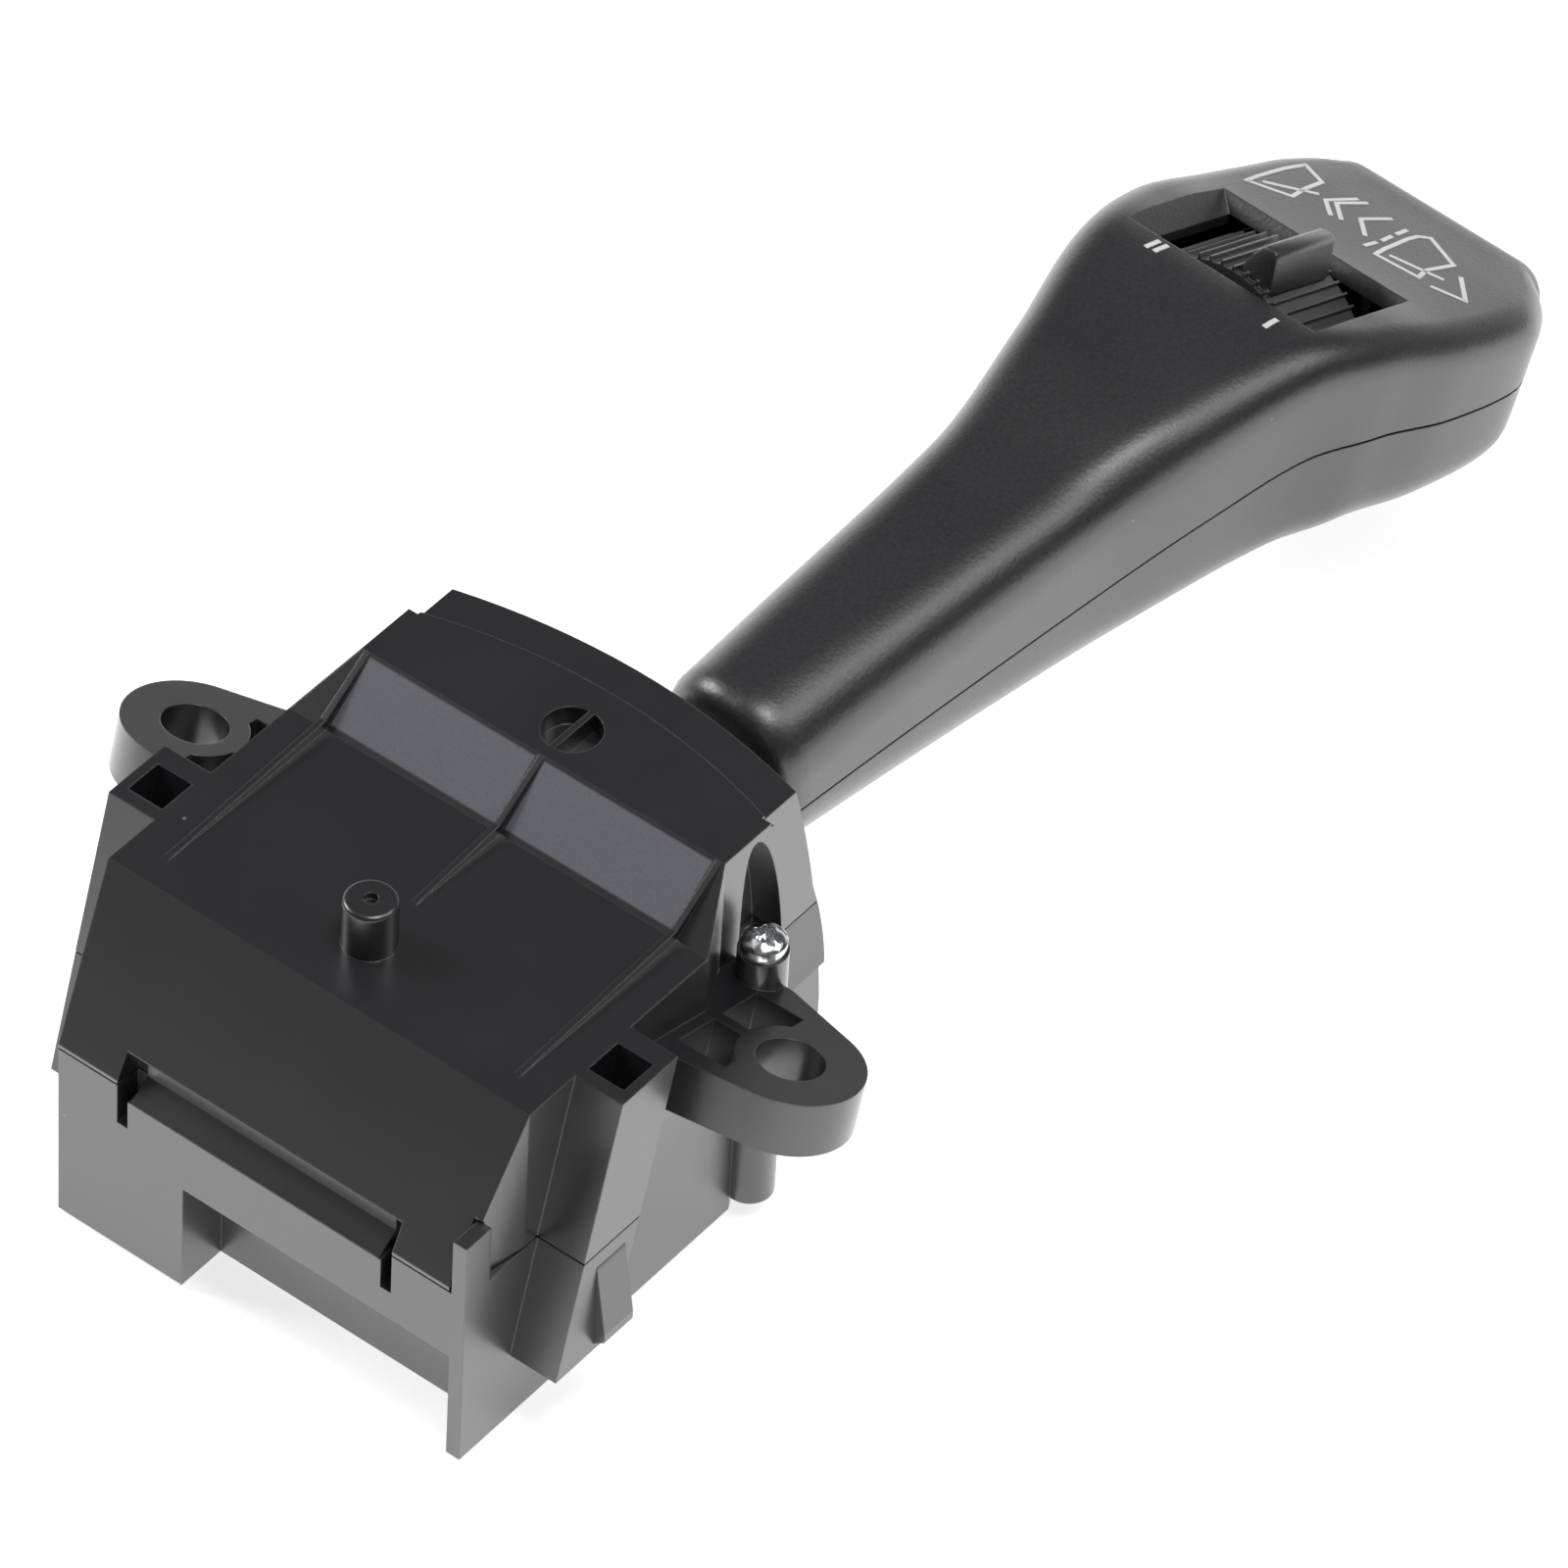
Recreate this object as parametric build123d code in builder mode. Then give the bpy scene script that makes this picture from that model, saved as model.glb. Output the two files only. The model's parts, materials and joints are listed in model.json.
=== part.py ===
from build123d import *
from math import cos, radians, sin, tan
import os

os.makedirs("parts", exist_ok=True)

# All sizes are in millimetres. The origin is the foot of the locating peg on the top plate.
# X runs towards the right ear, Y runs outwards along the lever and Z stands square to the plate.

# Moulding in general
wall = 2.0
seam_gap = 0.2
part_gap = 0.3
pin_clearance = 0.05

# Top plate, front slope and raised tier of the upper housing
plate_half_width = 25.2
crease_y = -7.6
slope_foot_y = -16.3
slope_foot_z = -17.2
slope_foot_half_width = 23.8
panel_foot_y = 18.5
tier_front_y = 25.0
tier_z = 5.3
tier_half_width = 21.8
tier_back_y = 31.9
tier_arc_y = 35.6
band_step = 0.5
band_back_y = 36.9
band_arc_y = 39.8
band_half_width = 20.7
barrel_bulge = 6.0
barrel_mid_bulge = 3.6
barrel_mid_z = -10.0
barrel_foot_z = -31.0
flank_mid_y = 38.2
flank_mid_z = -6.0
flank_end_y = 41.8
flank_end_z = -20.0
rib_x = 21.1
rib_thickness = 0.7
rib_front_y = -4.7
centre_rib_front_y = 6.0
rib_rise = 1.1
peg_diameter = 5.4
peg_height = 5.6
peg_fillet = 0.5
peg_dimple = 1.4
recess_diameter = 6.0
recess_y = 29.4
recess_depth = 2.2
recess_bar = 0.7

# Levels of the housing seams
parting_z = -17.6
ring_top_z = -11.4
ring_bottom_z = -21.0
step_z = -26.4
base_z = -39.6

# Clip columns on both flanks, leaning forwards as they go down
column_lean = 15.0
column_outer_x = 30.8
column_back_y = 7.1
column_depth = 8.1
column_wall = 1.1
column_bottom_z = -31.0
pocket_width = 4.15
pocket_length = 4.3
pocket_depth = 11.0
pocket_front_wall = 1.5
latch_width = 4.2
latch_height = 8.5
latch_rise = 1.3

# Mounting ears
ear_spacing = 70.0
left_ear_y = 16.5
right_ear_y = 18.9
ear_top_z = -7.0
ear_tilt = 15.0
ear_radius = 7.3
ear_thickness = 5.8
ear_hole_diameter = 6.7
left_root_y = 25.4
right_root_y = 26.4
ear_web = 1.3
ear_root_front = 12.0
ear_pocket = 5.4

# Screw towers beside the lever mouth
tower_x = 25.0
tower_y = 27.4
tower_diameter = 5.0
tower_top_z = -5.6
tower_bottom_z = -38.0
screw_hole_diameter = 2.2
screw_shank_diameter = 2.1
screw_length = 14.0
screw_head_diameter = 4.6
screw_head_height = 1.9
arch_half_width = 3.4
arch_y = 31.2
arch_depth = 4.2

# Front window with its slots
window_half_width = 16.6
window_top_z = -14.4
window_bottom_z = -19.2
window_depth = 3.0
bar_thickness = 1.6
window_slot_width = 1.3
window_slot_bottom_z = -22.8

# Lower housing with the connector socket, the guide fin and the set-back wall
lower_half_width = 24.6
setback_y = -10.6
socket_left_x = -23.8
socket_right_x = -8.5
socket_wall = 1.4
socket_cavity_depth = 11.0
fin_x = 25.3
fin_thickness = 1.6
fin_length = 17.0
fin_top_z = -10.8
fin_top_length = 3.6

# Pivot of the lever inside the housing
pivot_y = 12.0
pivot_z = -17.2
rest_yaw = 3.16
rest_pitch = 1.23
pivot_pin_diameter = 3.0
pivot_boss_diameter = 8.0
pivot_pin_grip = 4.0
tilt_pin_diameter = 3.0
carrier_half_width = 9.0
carrier_half_length = 8.0
carrier_half_height = 8.5
carrier_side = 3.2
carrier_roof = 1.9
carrier_arm_width = 6.0
carrier_arm_length = 14.5
carrier_arm_thickness = 2.4
drive_pin_radius = 12.0
drive_pin_diameter = 2.5
drive_pin_length = 6.4
swing_stroke = 4.2

# Mouth of the housing and the shutter behind it
mouth_half_width = 15.2
mouth_top_z = -6.0
mouth_bottom_z = -23.0
shutter_radius = 18.5
shutter_thickness = 1.0
shutter_half_angle = 34.0
shutter_height = 19.8
shutter_slot_lift = 1.8
shutter_slot_height = 15.0
ring_liner = 1.4
ring_front_y = 32.6
board_post_x = 17.0
board_post_pitch = 16.0

# Carriage floor, contact slider and circuit board
floor_top_z = -27.0
floor_thickness = 2.0
room_half_width = 19.4
back_half_width = 16.3
back_from_y = 24.5
room_front_y = -8.4
slider_thickness = 2.0
slider_length = 12.0
slider_width = 16.0
board_top_z = -33.2
board_thickness = 1.6
board_half_width = 19.6
board_front_y = -8.0
ledge_length = 4.0
board_back_y = 23.5
track_thickness = 0.2
track_count = 4
contact_thickness = 0.4
contact_drop = -1.3
pin_pitch = 2.5
pin_size = 0.64
pin_columns = 5
pin_tip_z = -33.6
back_row_z = -29.8
front_row_z = -31.6

# Detent of the lever
plunger_diameter = 3.8
plunger_tip_radius = 16.2
plunger_stroke = 1.2
plunger_length = 7.0
plunger_round = 1.7
detent_notch = 0.8
detent_step = 6.0
detent_count = 5
detent_depth = 3.4
detent_half_width = 8.6
detent_half_height = 5.2
spring_wire = 0.4
spring_pitch = 1.8
spring_radius = 0.9
plunger_bore = 2.8
plunger_bore_depth = 5.0

# Core of the lever
core_width = 10.6
core_height = 8.0
core_back = 8.0
tail_diameter = 7.0
tail_length = 13.5
neck_diameter = 10.2
spigot_width = 8.6
spigot_end = 64.0

# Lever shells, station by station along the lever: distance, lift, side bend, pitch, width, height and corner
root_at = 38.5
root_lift = 1.5
root_bend = -0.3
root_width = 17.0
root_height = 18.8
root_corner = 8.2
shoulder_radius = 2.6
waist_at = 80.0
waist_lift = 0.8
waist_width = 19.0
waist_height = 22.8
waist_corner = 6.0
throat_at = 97.0
throat_lift = 2.6
throat_pitch = 8.0
throat_width = 24.6
throat_height = 24.6
throat_corner = 5.6
crest_at = 108.0
crest_lift = 4.15
crest_bend = -1.5
crest_pitch = -10.0
crest_width = 31.9
crest_height = 23.6
crest_corner = 3.8
palm_at = 116.5
palm_lift = 1.85
palm_bend = -1.0
palm_pitch = -22.9
palm_width = 36.2
palm_height = 21.3
palm_corner = 3.5
brow_at = 136.0
brow_lift = -4.5
brow_bend = 1.3
brow_width = 37.3
brow_height = 16.8
brow_corner = 3.3
tip_at = 145.4
tip_lift = -6.7
tip_bend = -0.8
tip_width = 27.8
tip_height = 13.9
tip_corner = 4.0
shell_wall = 1.8
shell_gap = 0.35
parting_drop = 1.2
section_spacing = 9.0
nose_length = 1.8
nose_taper = 42.0

# Thumbwheel and its window in the head
wheel_window_length = 23.5
wheel_window_width = 15.5
wheel_radius = 12.5
wheel_width = 11.6
wheel_depth = 12.3
wheel_rim = 2.4
wheel_half_angle = 68.0
wheel_ribs = 31
wheel_rib_depth = 0.4
wheel_spokes = 3
wheel_web = 1.6
wheel_hub_diameter = 3.8
wheel_rest_angle = 18.5
tab_width = 6.4
tab_length = 10.4
tab_height = 3.6
tab_slope = 80.0
axle_diameter = 2.6
bracket_thickness = 1.5
head_board_thickness = 1.0
lead_diameter = 1.2
lead_pitch = 1.7
board_half_length = 7.7
board_tail = 11.0
board_tail_width = 9.0
board_lift = 1.7
board_post_half = 11.0
head_board_half_width = 13.6
bracket_half_width = 14.0
bracket_top = 1.0
bracket_bar = 0.8
leaf_thickness = 0.3
shell_screw_diameter = 2.0
shell_screw_head = 3.8
shell_screw_length = 9.0
shell_boss_diameter = 5.4
grip_boss_at = 88.0
grip_boss_across = 6.2
nose_boss_at = 137.0
spigot_rib_at = 48.0
spigot_rib_pitch = 12.0

# Derived places
column_middle_x = (column_outer_x + lower_half_width - wall) / 2
column_foot_y = column_back_y - column_depth / 2 + parting_z * tan(radians(column_lean))
pocket_middle_y = column_back_y - column_depth + pocket_front_wall + pocket_length / 2
socket_middle_x = (socket_left_x + socket_right_x) / 2
ring_height = ring_top_z - ring_bottom_z
band_bow = band_arc_y - band_back_y
barrel_axis_y = band_arc_y - (band_half_width ** 2 + band_bow ** 2) / (2 * band_bow)
barrel_back_y = band_back_y + barrel_bulge
barrel_arc_y = band_arc_y + barrel_bulge
lean_direction = (0, -sin(radians(column_lean)), -cos(radians(column_lean)))
lever_x = Vector(cos(radians(rest_yaw)), -sin(radians(rest_yaw)), 0)
lever_flat = Vector(sin(radians(rest_yaw)), cos(radians(rest_yaw)), 0)
up = Vector(0, 0, 1)
pivot = Vector(0, pivot_y, pivot_z)
swing_plane = Plane(origin=pivot, x_dir=lever_x, z_dir=up)


def lever_direction(pitch):
    """Unit vector along the lever, raised from its own axis by an angle in degrees."""
    angle = radians(rest_pitch + pitch)
    return lever_flat * cos(angle) + up * sin(angle)


def lever_point(along, lift=0.0, across=0.0):
    """Point given by its distance along the lever from the pivot, its lift and its side offset."""
    return pivot + lever_direction(0) * along + lever_direction(90) * lift + lever_x * across


def lever_plane(along, lift=0.0, bend=0.0, pitch=0.0):
    """Cross-section plane of the lever, facing outwards along it."""
    return Plane(origin=lever_point(along, lift, bend), x_dir=lever_x, z_dir=lever_direction(pitch))


def side_plane(across=0.0):
    """Plane along the lever seen from its right side: x runs outwards and y runs up."""
    return Plane(origin=lever_point(0, 0, across), x_dir=lever_direction(0), z_dir=lever_x)


def slope_y(z):
    """Y of the front slope at a height."""
    return crease_y + (z / slope_foot_z) * (slope_foot_y - crease_y)


def plan_outline(back_y, arc_y):
    """Outline of the upper housing seen from above, with its bowed back edge."""
    with BuildLine() as outline:
        Polyline(
            (-tier_half_width, back_y),
            (-tier_half_width, tier_front_y),
            (-plate_half_width, panel_foot_y),
            (-plate_half_width, crease_y),
            (-slope_foot_half_width, slope_foot_y),
            (slope_foot_half_width, slope_foot_y),
            (plate_half_width, crease_y),
            (plate_half_width, panel_foot_y),
            (tier_half_width, tier_front_y),
            (tier_half_width, back_y),
        )
        ThreePointArc((tier_half_width, back_y), (0, arc_y), (-tier_half_width, back_y))
    return outline.line


def cavity_outline(half_width, clearance):
    """Plan of the room inside the housing, narrower beside the lever mouth."""
    with BuildLine() as outline:
        Polyline(
            (-back_half_width, band_back_y - wall - clearance),
            (-back_half_width, back_from_y),
            (-half_width, back_from_y),
            (-half_width, room_front_y + clearance),
            (half_width, room_front_y + clearance),
            (half_width, back_from_y),
            (back_half_width, back_from_y),
            (back_half_width, band_back_y - wall - clearance),
        )
        ThreePointArc(
            (back_half_width, band_back_y - wall - clearance),
            (0, band_arc_y - wall - clearance),
            (-back_half_width, band_back_y - wall - clearance),
        )
    return outline.line


def both_sides(x):
    """A place on the right flank and its mirror image."""
    return (x, -x)


# Bowed back of the housing, which bellies out towards the base
with BuildPart() as barrel:
    with BuildSketch(Plane.YZ):
        with BuildLine():
            belly = ThreePointArc(
                (band_arc_y, tier_z),
                (band_arc_y + barrel_mid_bulge, barrel_mid_z),
                (barrel_arc_y, barrel_foot_z),
            )
            Polyline(
                belly @ 1,
                (barrel_arc_y, base_z - wall),
                (barrel_axis_y, base_z - wall),
                (barrel_axis_y, tier_z + peg_height),
                (band_arc_y, tier_z + peg_height),
                belly @ 0,
            )
        make_face()
    revolve(axis=Axis((0, barrel_axis_y, 0), (0, 0, 1)))

# Step on each flank where the tier gives way to the narrower band
with BuildPart() as band_flanks:
    for side in (-1, 1):
        with BuildSketch(Plane.YZ.offset(side * band_half_width)):
            with BuildLine():
                flank = ThreePointArc(
                    (tier_back_y, tier_z),
                    (flank_mid_y, flank_mid_z),
                    (flank_end_y, flank_end_z),
                )
                Polyline(
                    flank @ 1,
                    (flank_end_y, base_z),
                    (barrel_arc_y + wall, base_z),
                    (barrel_arc_y + wall, tier_z + wall),
                    (tier_back_y, tier_z + wall),
                    flank @ 0,
                )
            make_face()
        extrude(amount=side * wall)

# Room inside the upper housing, under the plate and under the tier
with BuildPart() as upper_cavity:
    with BuildSketch(Plane.XY.offset(parting_z)):
        with BuildLine():
            add(cavity_outline(room_half_width, 0))
        make_face()
    extrude(amount=tier_z - band_step - wall - parting_z)
    with BuildSketch(Plane.YZ):
        Polygon(
            (room_front_y, parting_z),
            (room_front_y, slope_foot_z * (room_front_y - crease_y) / (slope_foot_y - crease_y) - wall),
            (crease_y + wall, -wall),
            (panel_foot_y + wall, -wall),
            (tier_front_y + wall, tier_z - band_step - wall),
            (band_arc_y, tier_z - band_step - wall),
            (band_arc_y, parting_z),
            align=None,
        )
    extrude(amount=plate_half_width, both=True, mode=Mode.INTERSECT)

# Mouth through which the lever neck leaves the housing
with BuildPart() as mouth:
    with BuildSketch(Plane.XZ.offset(-back_from_y)):
        with Locations((0, (mouth_top_z + mouth_bottom_z) / 2)):
            RectangleRounded(2 * mouth_half_width, mouth_top_z - mouth_bottom_z, 3 * wall / 2)
    extrude(amount=-2 * (band_arc_y - back_from_y))

# Hollow beside each screw tower, with an arched top
with BuildPart() as arch_hollows:
    with BuildSketch(Plane.YZ.offset(-tower_x - arch_depth)):
        with BuildLine():
            Polyline(
                (arch_y + arch_half_width, ring_bottom_z),
                (arch_y - arch_half_width, ring_bottom_z),
                (arch_y - arch_half_width, ring_top_z),
            )
            Spline(
                (arch_y - arch_half_width, ring_top_z),
                (arch_y - arch_half_width / 2, tier_z - wall / 2),
                (arch_y + arch_half_width, ring_top_z),
                tangents=((0, 1), (0.1, -1)),
            )
            Line((arch_y + arch_half_width, ring_top_z), (arch_y + arch_half_width, ring_bottom_z))
        make_face()
    extrude(amount=2 * tower_x + 2 * arch_depth)
    with BuildSketch(Plane.XY.offset(ring_bottom_z)):
        Rectangle(2 * (back_half_width + wall), 4 * band_arc_y)
    extrude(amount=tier_z - ring_bottom_z, mode=Mode.SUBTRACT)

# Upper housing: front slope, plate, panels and tier from one side outline
with BuildPart() as upper_housing:
    with BuildSketch(Plane.YZ):
        Polygon(
            (slope_foot_y, parting_z),
            (slope_foot_y, slope_foot_z),
            (crease_y, 0),
            (panel_foot_y, 0),
            (tier_front_y, tier_z),
            (barrel_arc_y, tier_z),
            (barrel_arc_y, parting_z),
            align=None,
        )
    extrude(amount=plate_half_width, both=True)
    with BuildSketch(Plane.XY.offset(parting_z)):
        with BuildLine():
            add(plan_outline(barrel_back_y, barrel_arc_y))
        make_face()
    extrude(amount=tier_z - parting_z, mode=Mode.INTERSECT)
    add(barrel.part, mode=Mode.INTERSECT)
    add(band_flanks.part, mode=Mode.SUBTRACT)
    # Bowed step between the tier and the lower, narrower band behind it
    with BuildSketch(Plane.XY.offset(tier_z - band_step)):
        with Locations((0, panel_foot_y)):
            Rectangle(2 * plate_half_width, 2 * band_arc_y, align=(Align.CENTER, Align.MIN))
        with BuildLine():
            add(plan_outline(tier_back_y, tier_arc_y))
        make_face(mode=Mode.SUBTRACT)
    extrude(amount=2 * band_step, mode=Mode.SUBTRACT)
    # Thin ribs whose tops rise to the knee and then climb to the tier
    for x, front_y in ((-rib_x, rib_front_y), (0, centre_rib_front_y), (rib_x, rib_front_y)):
        with BuildSketch(Plane.YZ.offset(x - rib_thickness / 2)):
            Polygon(
                (front_y, 0),
                (panel_foot_y, rib_rise),
                (tier_front_y, tier_z),
                (tier_front_y, tier_z - wall),
                (panel_foot_y, -wall),
                (front_y, -wall / 2),
                align=None,
            )
        extrude(amount=rib_thickness)
    # Mounting ears, blended out of the flank and lightened by two pockets each
    for side, ear_y, root_y in ((-1, left_ear_y, left_root_y), (1, right_ear_y, right_root_y)):
        ear_plane = Plane(
            origin=(side * ear_spacing / 2, ear_y, ear_top_z),
            x_dir=(1, 0, 0),
            z_dir=(0, sin(radians(ear_tilt)), cos(radians(ear_tilt))),
        )
        root_x = side * (tower_x - ear_spacing / 2)
        with BuildSketch(ear_plane):
            Circle(ear_radius)
            with Locations((root_x, root_y - ear_y), (root_x, ear_root_front - ear_y)):
                Circle(tower_diameter / 2)
            with Locations((root_x - side * (wall + tower_diameter), (root_y + ear_root_front) / 2 - ear_y)):
                Rectangle(tower_diameter, root_y - ear_root_front + tower_diameter)
            make_hull()
        extrude(amount=-ear_thickness)
        with BuildSketch(ear_plane.offset(-ear_thickness)):
            with Locations((side * (plate_half_width + ear_web + ear_pocket / 2 - ear_spacing / 2), 0)):
                Rectangle(ear_pocket, root_y - ear_root_front - wall)
            Circle(ear_hole_diameter / 2 + wall, mode=Mode.SUBTRACT)
            with Locations((side * (plate_half_width - ear_spacing / 2), 0)):
                Rectangle(ear_spacing, ear_web, mode=Mode.SUBTRACT)
        extrude(amount=2 * ear_thickness, mode=Mode.SUBTRACT)
        with BuildSketch(ear_plane.offset(-ear_thickness)):
            Circle(ear_hole_diameter / 2)
        extrude(amount=2 * ear_thickness, mode=Mode.SUBTRACT)
    # Screw towers, standing on the ear roots
    with BuildSketch(Plane.XY.offset(parting_z)):
        with Locations(*[(x, tower_y) for x in both_sides(tower_x)]):
            Circle(tower_diameter / 2)
            with Locations((0, 0)):
                Rectangle(tower_diameter / 2, wall)
    extrude(amount=tower_top_z - parting_z)
    # Leaning clip columns, open at the top
    for side in (-1, 1):
        with BuildSketch(Plane.XY):
            with Locations((side * column_middle_x, column_back_y - column_depth / 2)):
                Rectangle(2 * (column_outer_x - column_middle_x), column_depth)
        extrude(amount=-parting_z / cos(radians(column_lean)), dir=lean_direction)
    add(arch_hollows.part, mode=Mode.SUBTRACT)
    add(upper_cavity.part, mode=Mode.SUBTRACT)
    add(mouth.part, mode=Mode.SUBTRACT)
    for side in (-1, 1):
        with BuildSketch(Plane.XY):
            with Locations((side * (column_outer_x - column_wall - pocket_width / 2), pocket_middle_y)):
                Rectangle(pocket_width, pocket_length)
        extrude(amount=pocket_depth, dir=lean_direction, mode=Mode.SUBTRACT)
    # Room for the frame of the lever mouth
    with BuildSketch(Plane.XY.offset(parting_z)):
        with Locations((0, ring_front_y)):
            Rectangle(2 * plate_half_width, barrel_arc_y - ring_front_y, align=(Align.CENTER, Align.MIN))
    extrude(amount=ring_top_z + seam_gap - parting_z, mode=Mode.SUBTRACT)
    # Boss over the pivot of the lever
    with BuildSketch(Plane.XY.offset(pivot_z + carrier_half_height + part_gap)):
        with Locations((0, pivot_y)):
            Circle(pivot_boss_diameter / 2)
    extrude(until=Until.NEXT)
    with Locations(Location((0, pivot_y, pivot_z + carrier_half_height))):
        Cylinder(
            pivot_pin_diameter / 2 + pin_clearance,
            pivot_pin_grip,
            align=(Align.CENTER, Align.CENTER, Align.MIN),
            mode=Mode.SUBTRACT,
        )
    # Locating peg with its foot fillet and dimple
    with Locations((0, 0, 0)):
        Cylinder(peg_diameter / 2, peg_height, align=(Align.CENTER, Align.CENTER, Align.MIN))
    # Round recess with its bar
    with BuildSketch(Plane.XY.offset(tier_z - recess_depth)):
        with Locations((0, recess_y)):
            Circle(recess_diameter / 2)
            Rectangle(recess_bar, 2 * recess_diameter, mode=Mode.SUBTRACT)
    extrude(amount=2 * recess_depth, mode=Mode.SUBTRACT)
    # Front window with its end slots, and the notch for the guide fin
    with BuildSketch(Plane.YZ):
        Polygon(
            (slope_foot_y - wall, window_top_z),
            (slope_y(window_top_z) + window_depth, window_top_z),
            (slope_foot_y + window_depth, parting_z),
            (slope_foot_y - wall, parting_z),
            align=None,
        )
    extrude(amount=window_half_width, both=True, mode=Mode.SUBTRACT)
    with BuildSketch(Plane.XY.offset(parting_z)):
        with Locations((fin_x - fin_thickness - part_gap, slope_foot_y - wall)):
            Rectangle(2 * fin_thickness, fin_top_length + wall, align=(Align.MIN, Align.MIN))
    extrude(amount=fin_top_z - parting_z + part_gap, mode=Mode.SUBTRACT)
    # Screw holes from the tower tops
    with Locations(*[(x, tower_y, tower_top_z) for x in both_sides(tower_x)]):
        Cylinder(screw_hole_diameter / 2, 2 * (tower_top_z - parting_z), mode=Mode.SUBTRACT)
    peg_rims = upper_housing.edges().filter_by(GeomType.CIRCLE).group_by(Axis.Z)[-1]
    fillet(peg_rims, peg_fillet)
    with BuildSketch(Plane.XY.offset(peg_height)):
        Circle(peg_dimple / 2)
    extrude(amount=-peg_dimple / 2, mode=Mode.SUBTRACT)

# Lower housing: tub, front wall over the step, connector socket and guide fin
with BuildPart() as lower_housing:
    with BuildSketch(Plane.XY.offset(base_z)):
        with BuildLine():
            Polyline(
                (-band_half_width, barrel_back_y),
                (-band_half_width, tower_y + tower_diameter),
                (-lower_half_width, tower_y - tower_diameter / 2),
                (-lower_half_width, setback_y),
                (lower_half_width, setback_y),
                (lower_half_width, tower_y - tower_diameter / 2),
                (band_half_width, tower_y + tower_diameter),
                (band_half_width, barrel_back_y),
            )
            ThreePointArc(
                (band_half_width, barrel_back_y),
                (0, barrel_arc_y),
                (-band_half_width, barrel_back_y),
            )
        make_face()
    extrude(amount=parting_z - seam_gap - base_z)
    add(barrel.part, mode=Mode.INTERSECT)
    with BuildSketch(Plane.XY.offset(step_z)):
        with Locations((0, slope_foot_y)):
            Rectangle(2 * slope_foot_half_width, setback_y - slope_foot_y, align=(Align.CENTER, Align.MIN))
    extrude(amount=parting_z - seam_gap - step_z)
    with BuildSketch(Plane.XY.offset(base_z)):
        with Locations((socket_left_x, slope_foot_y)):
            Rectangle(socket_right_x - socket_left_x, room_front_y - slope_foot_y, align=Align.MIN)
    extrude(amount=step_z - base_z)
    # Guide fin on the right flank, its tip standing up beside the slope
    with BuildSketch(Plane.XY.offset(base_z)):
        with Locations((fin_x - fin_thickness, slope_foot_y)):
            Rectangle(fin_thickness, fin_length, align=Align.MIN)
    extrude(amount=parting_z - seam_gap - base_z)
    with BuildSketch(Plane.XY.offset(base_z)):
        with Locations((fin_x - fin_thickness, slope_foot_y)):
            Rectangle(fin_thickness, fin_top_length, align=Align.MIN)
    extrude(amount=fin_top_z - base_z)
    # Lower stretch of the leaning columns
    for side in (-1, 1):
        with BuildSketch(Plane.XY.offset(parting_z - seam_gap)):
            with Locations((side * column_middle_x, column_foot_y)):
                Rectangle(2 * (column_outer_x - column_middle_x), column_depth)
        foot_length = (parting_z - seam_gap - column_bottom_z) / cos(radians(column_lean))
        extrude(amount=foot_length, dir=lean_direction)
    # Lower screw towers
    with BuildSketch(Plane.XY.offset(tower_bottom_z)):
        with Locations(*[(x, tower_y) for x in both_sides(tower_x)]):
            Circle(tower_diameter / 2)
    extrude(amount=parting_z - seam_gap - tower_bottom_z)
    # Room inside the tub
    with BuildSketch(Plane.XY.offset(base_z + wall)):
        with BuildLine():
            add(cavity_outline(lower_half_width - wall, 0))
        make_face()
    extrude(amount=parting_z - base_z, mode=Mode.SUBTRACT)
    with BuildSketch(Plane.XY.offset(ring_bottom_z - seam_gap)):
        with Locations((0, ring_front_y)):
            Rectangle(2 * plate_half_width, barrel_arc_y - ring_front_y, align=(Align.CENTER, Align.MIN))
    extrude(amount=parting_z - ring_bottom_z + wall, mode=Mode.SUBTRACT)
    add(mouth.part, mode=Mode.SUBTRACT)
    # Connector cavity, open downwards
    with BuildSketch(Plane.XY.offset(base_z)):
        with Locations((socket_left_x + socket_wall, slope_foot_y + socket_wall)):
            Rectangle(
                socket_right_x - socket_left_x - 2 * socket_wall,
                room_front_y - slope_foot_y - 2 * socket_wall,
                align=Align.MIN,
            )
    extrude(amount=socket_cavity_depth, mode=Mode.SUBTRACT)
    # Comb slot that the two rows of pins pass through
    with BuildSketch(Plane.XZ.offset(-room_front_y - wall)):
        with Locations((socket_middle_x, (back_row_z + front_row_z) / 2)):
            Rectangle(pin_columns * pin_pitch, back_row_z - front_row_z + 2 * pin_size)
    extrude(amount=2 * wall, both=True, mode=Mode.SUBTRACT)
    # Seat of the front bar and the end slots below the window
    with BuildSketch(Plane.XY.offset(window_bottom_z)):
        with Locations((0, slope_foot_y - wall)):
            Rectangle(2 * window_half_width, window_depth + wall, align=(Align.CENTER, Align.MIN))
    extrude(amount=parting_z - window_bottom_z, mode=Mode.SUBTRACT)
    for side in (-1, 1):
        with BuildSketch(Plane.XY.offset(window_slot_bottom_z)):
            with Locations((side * (window_half_width - window_slot_width / 2), slope_foot_y)):
                Rectangle(window_slot_width, 2 * window_depth)
        extrude(amount=parting_z - window_slot_bottom_z, mode=Mode.SUBTRACT)
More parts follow.
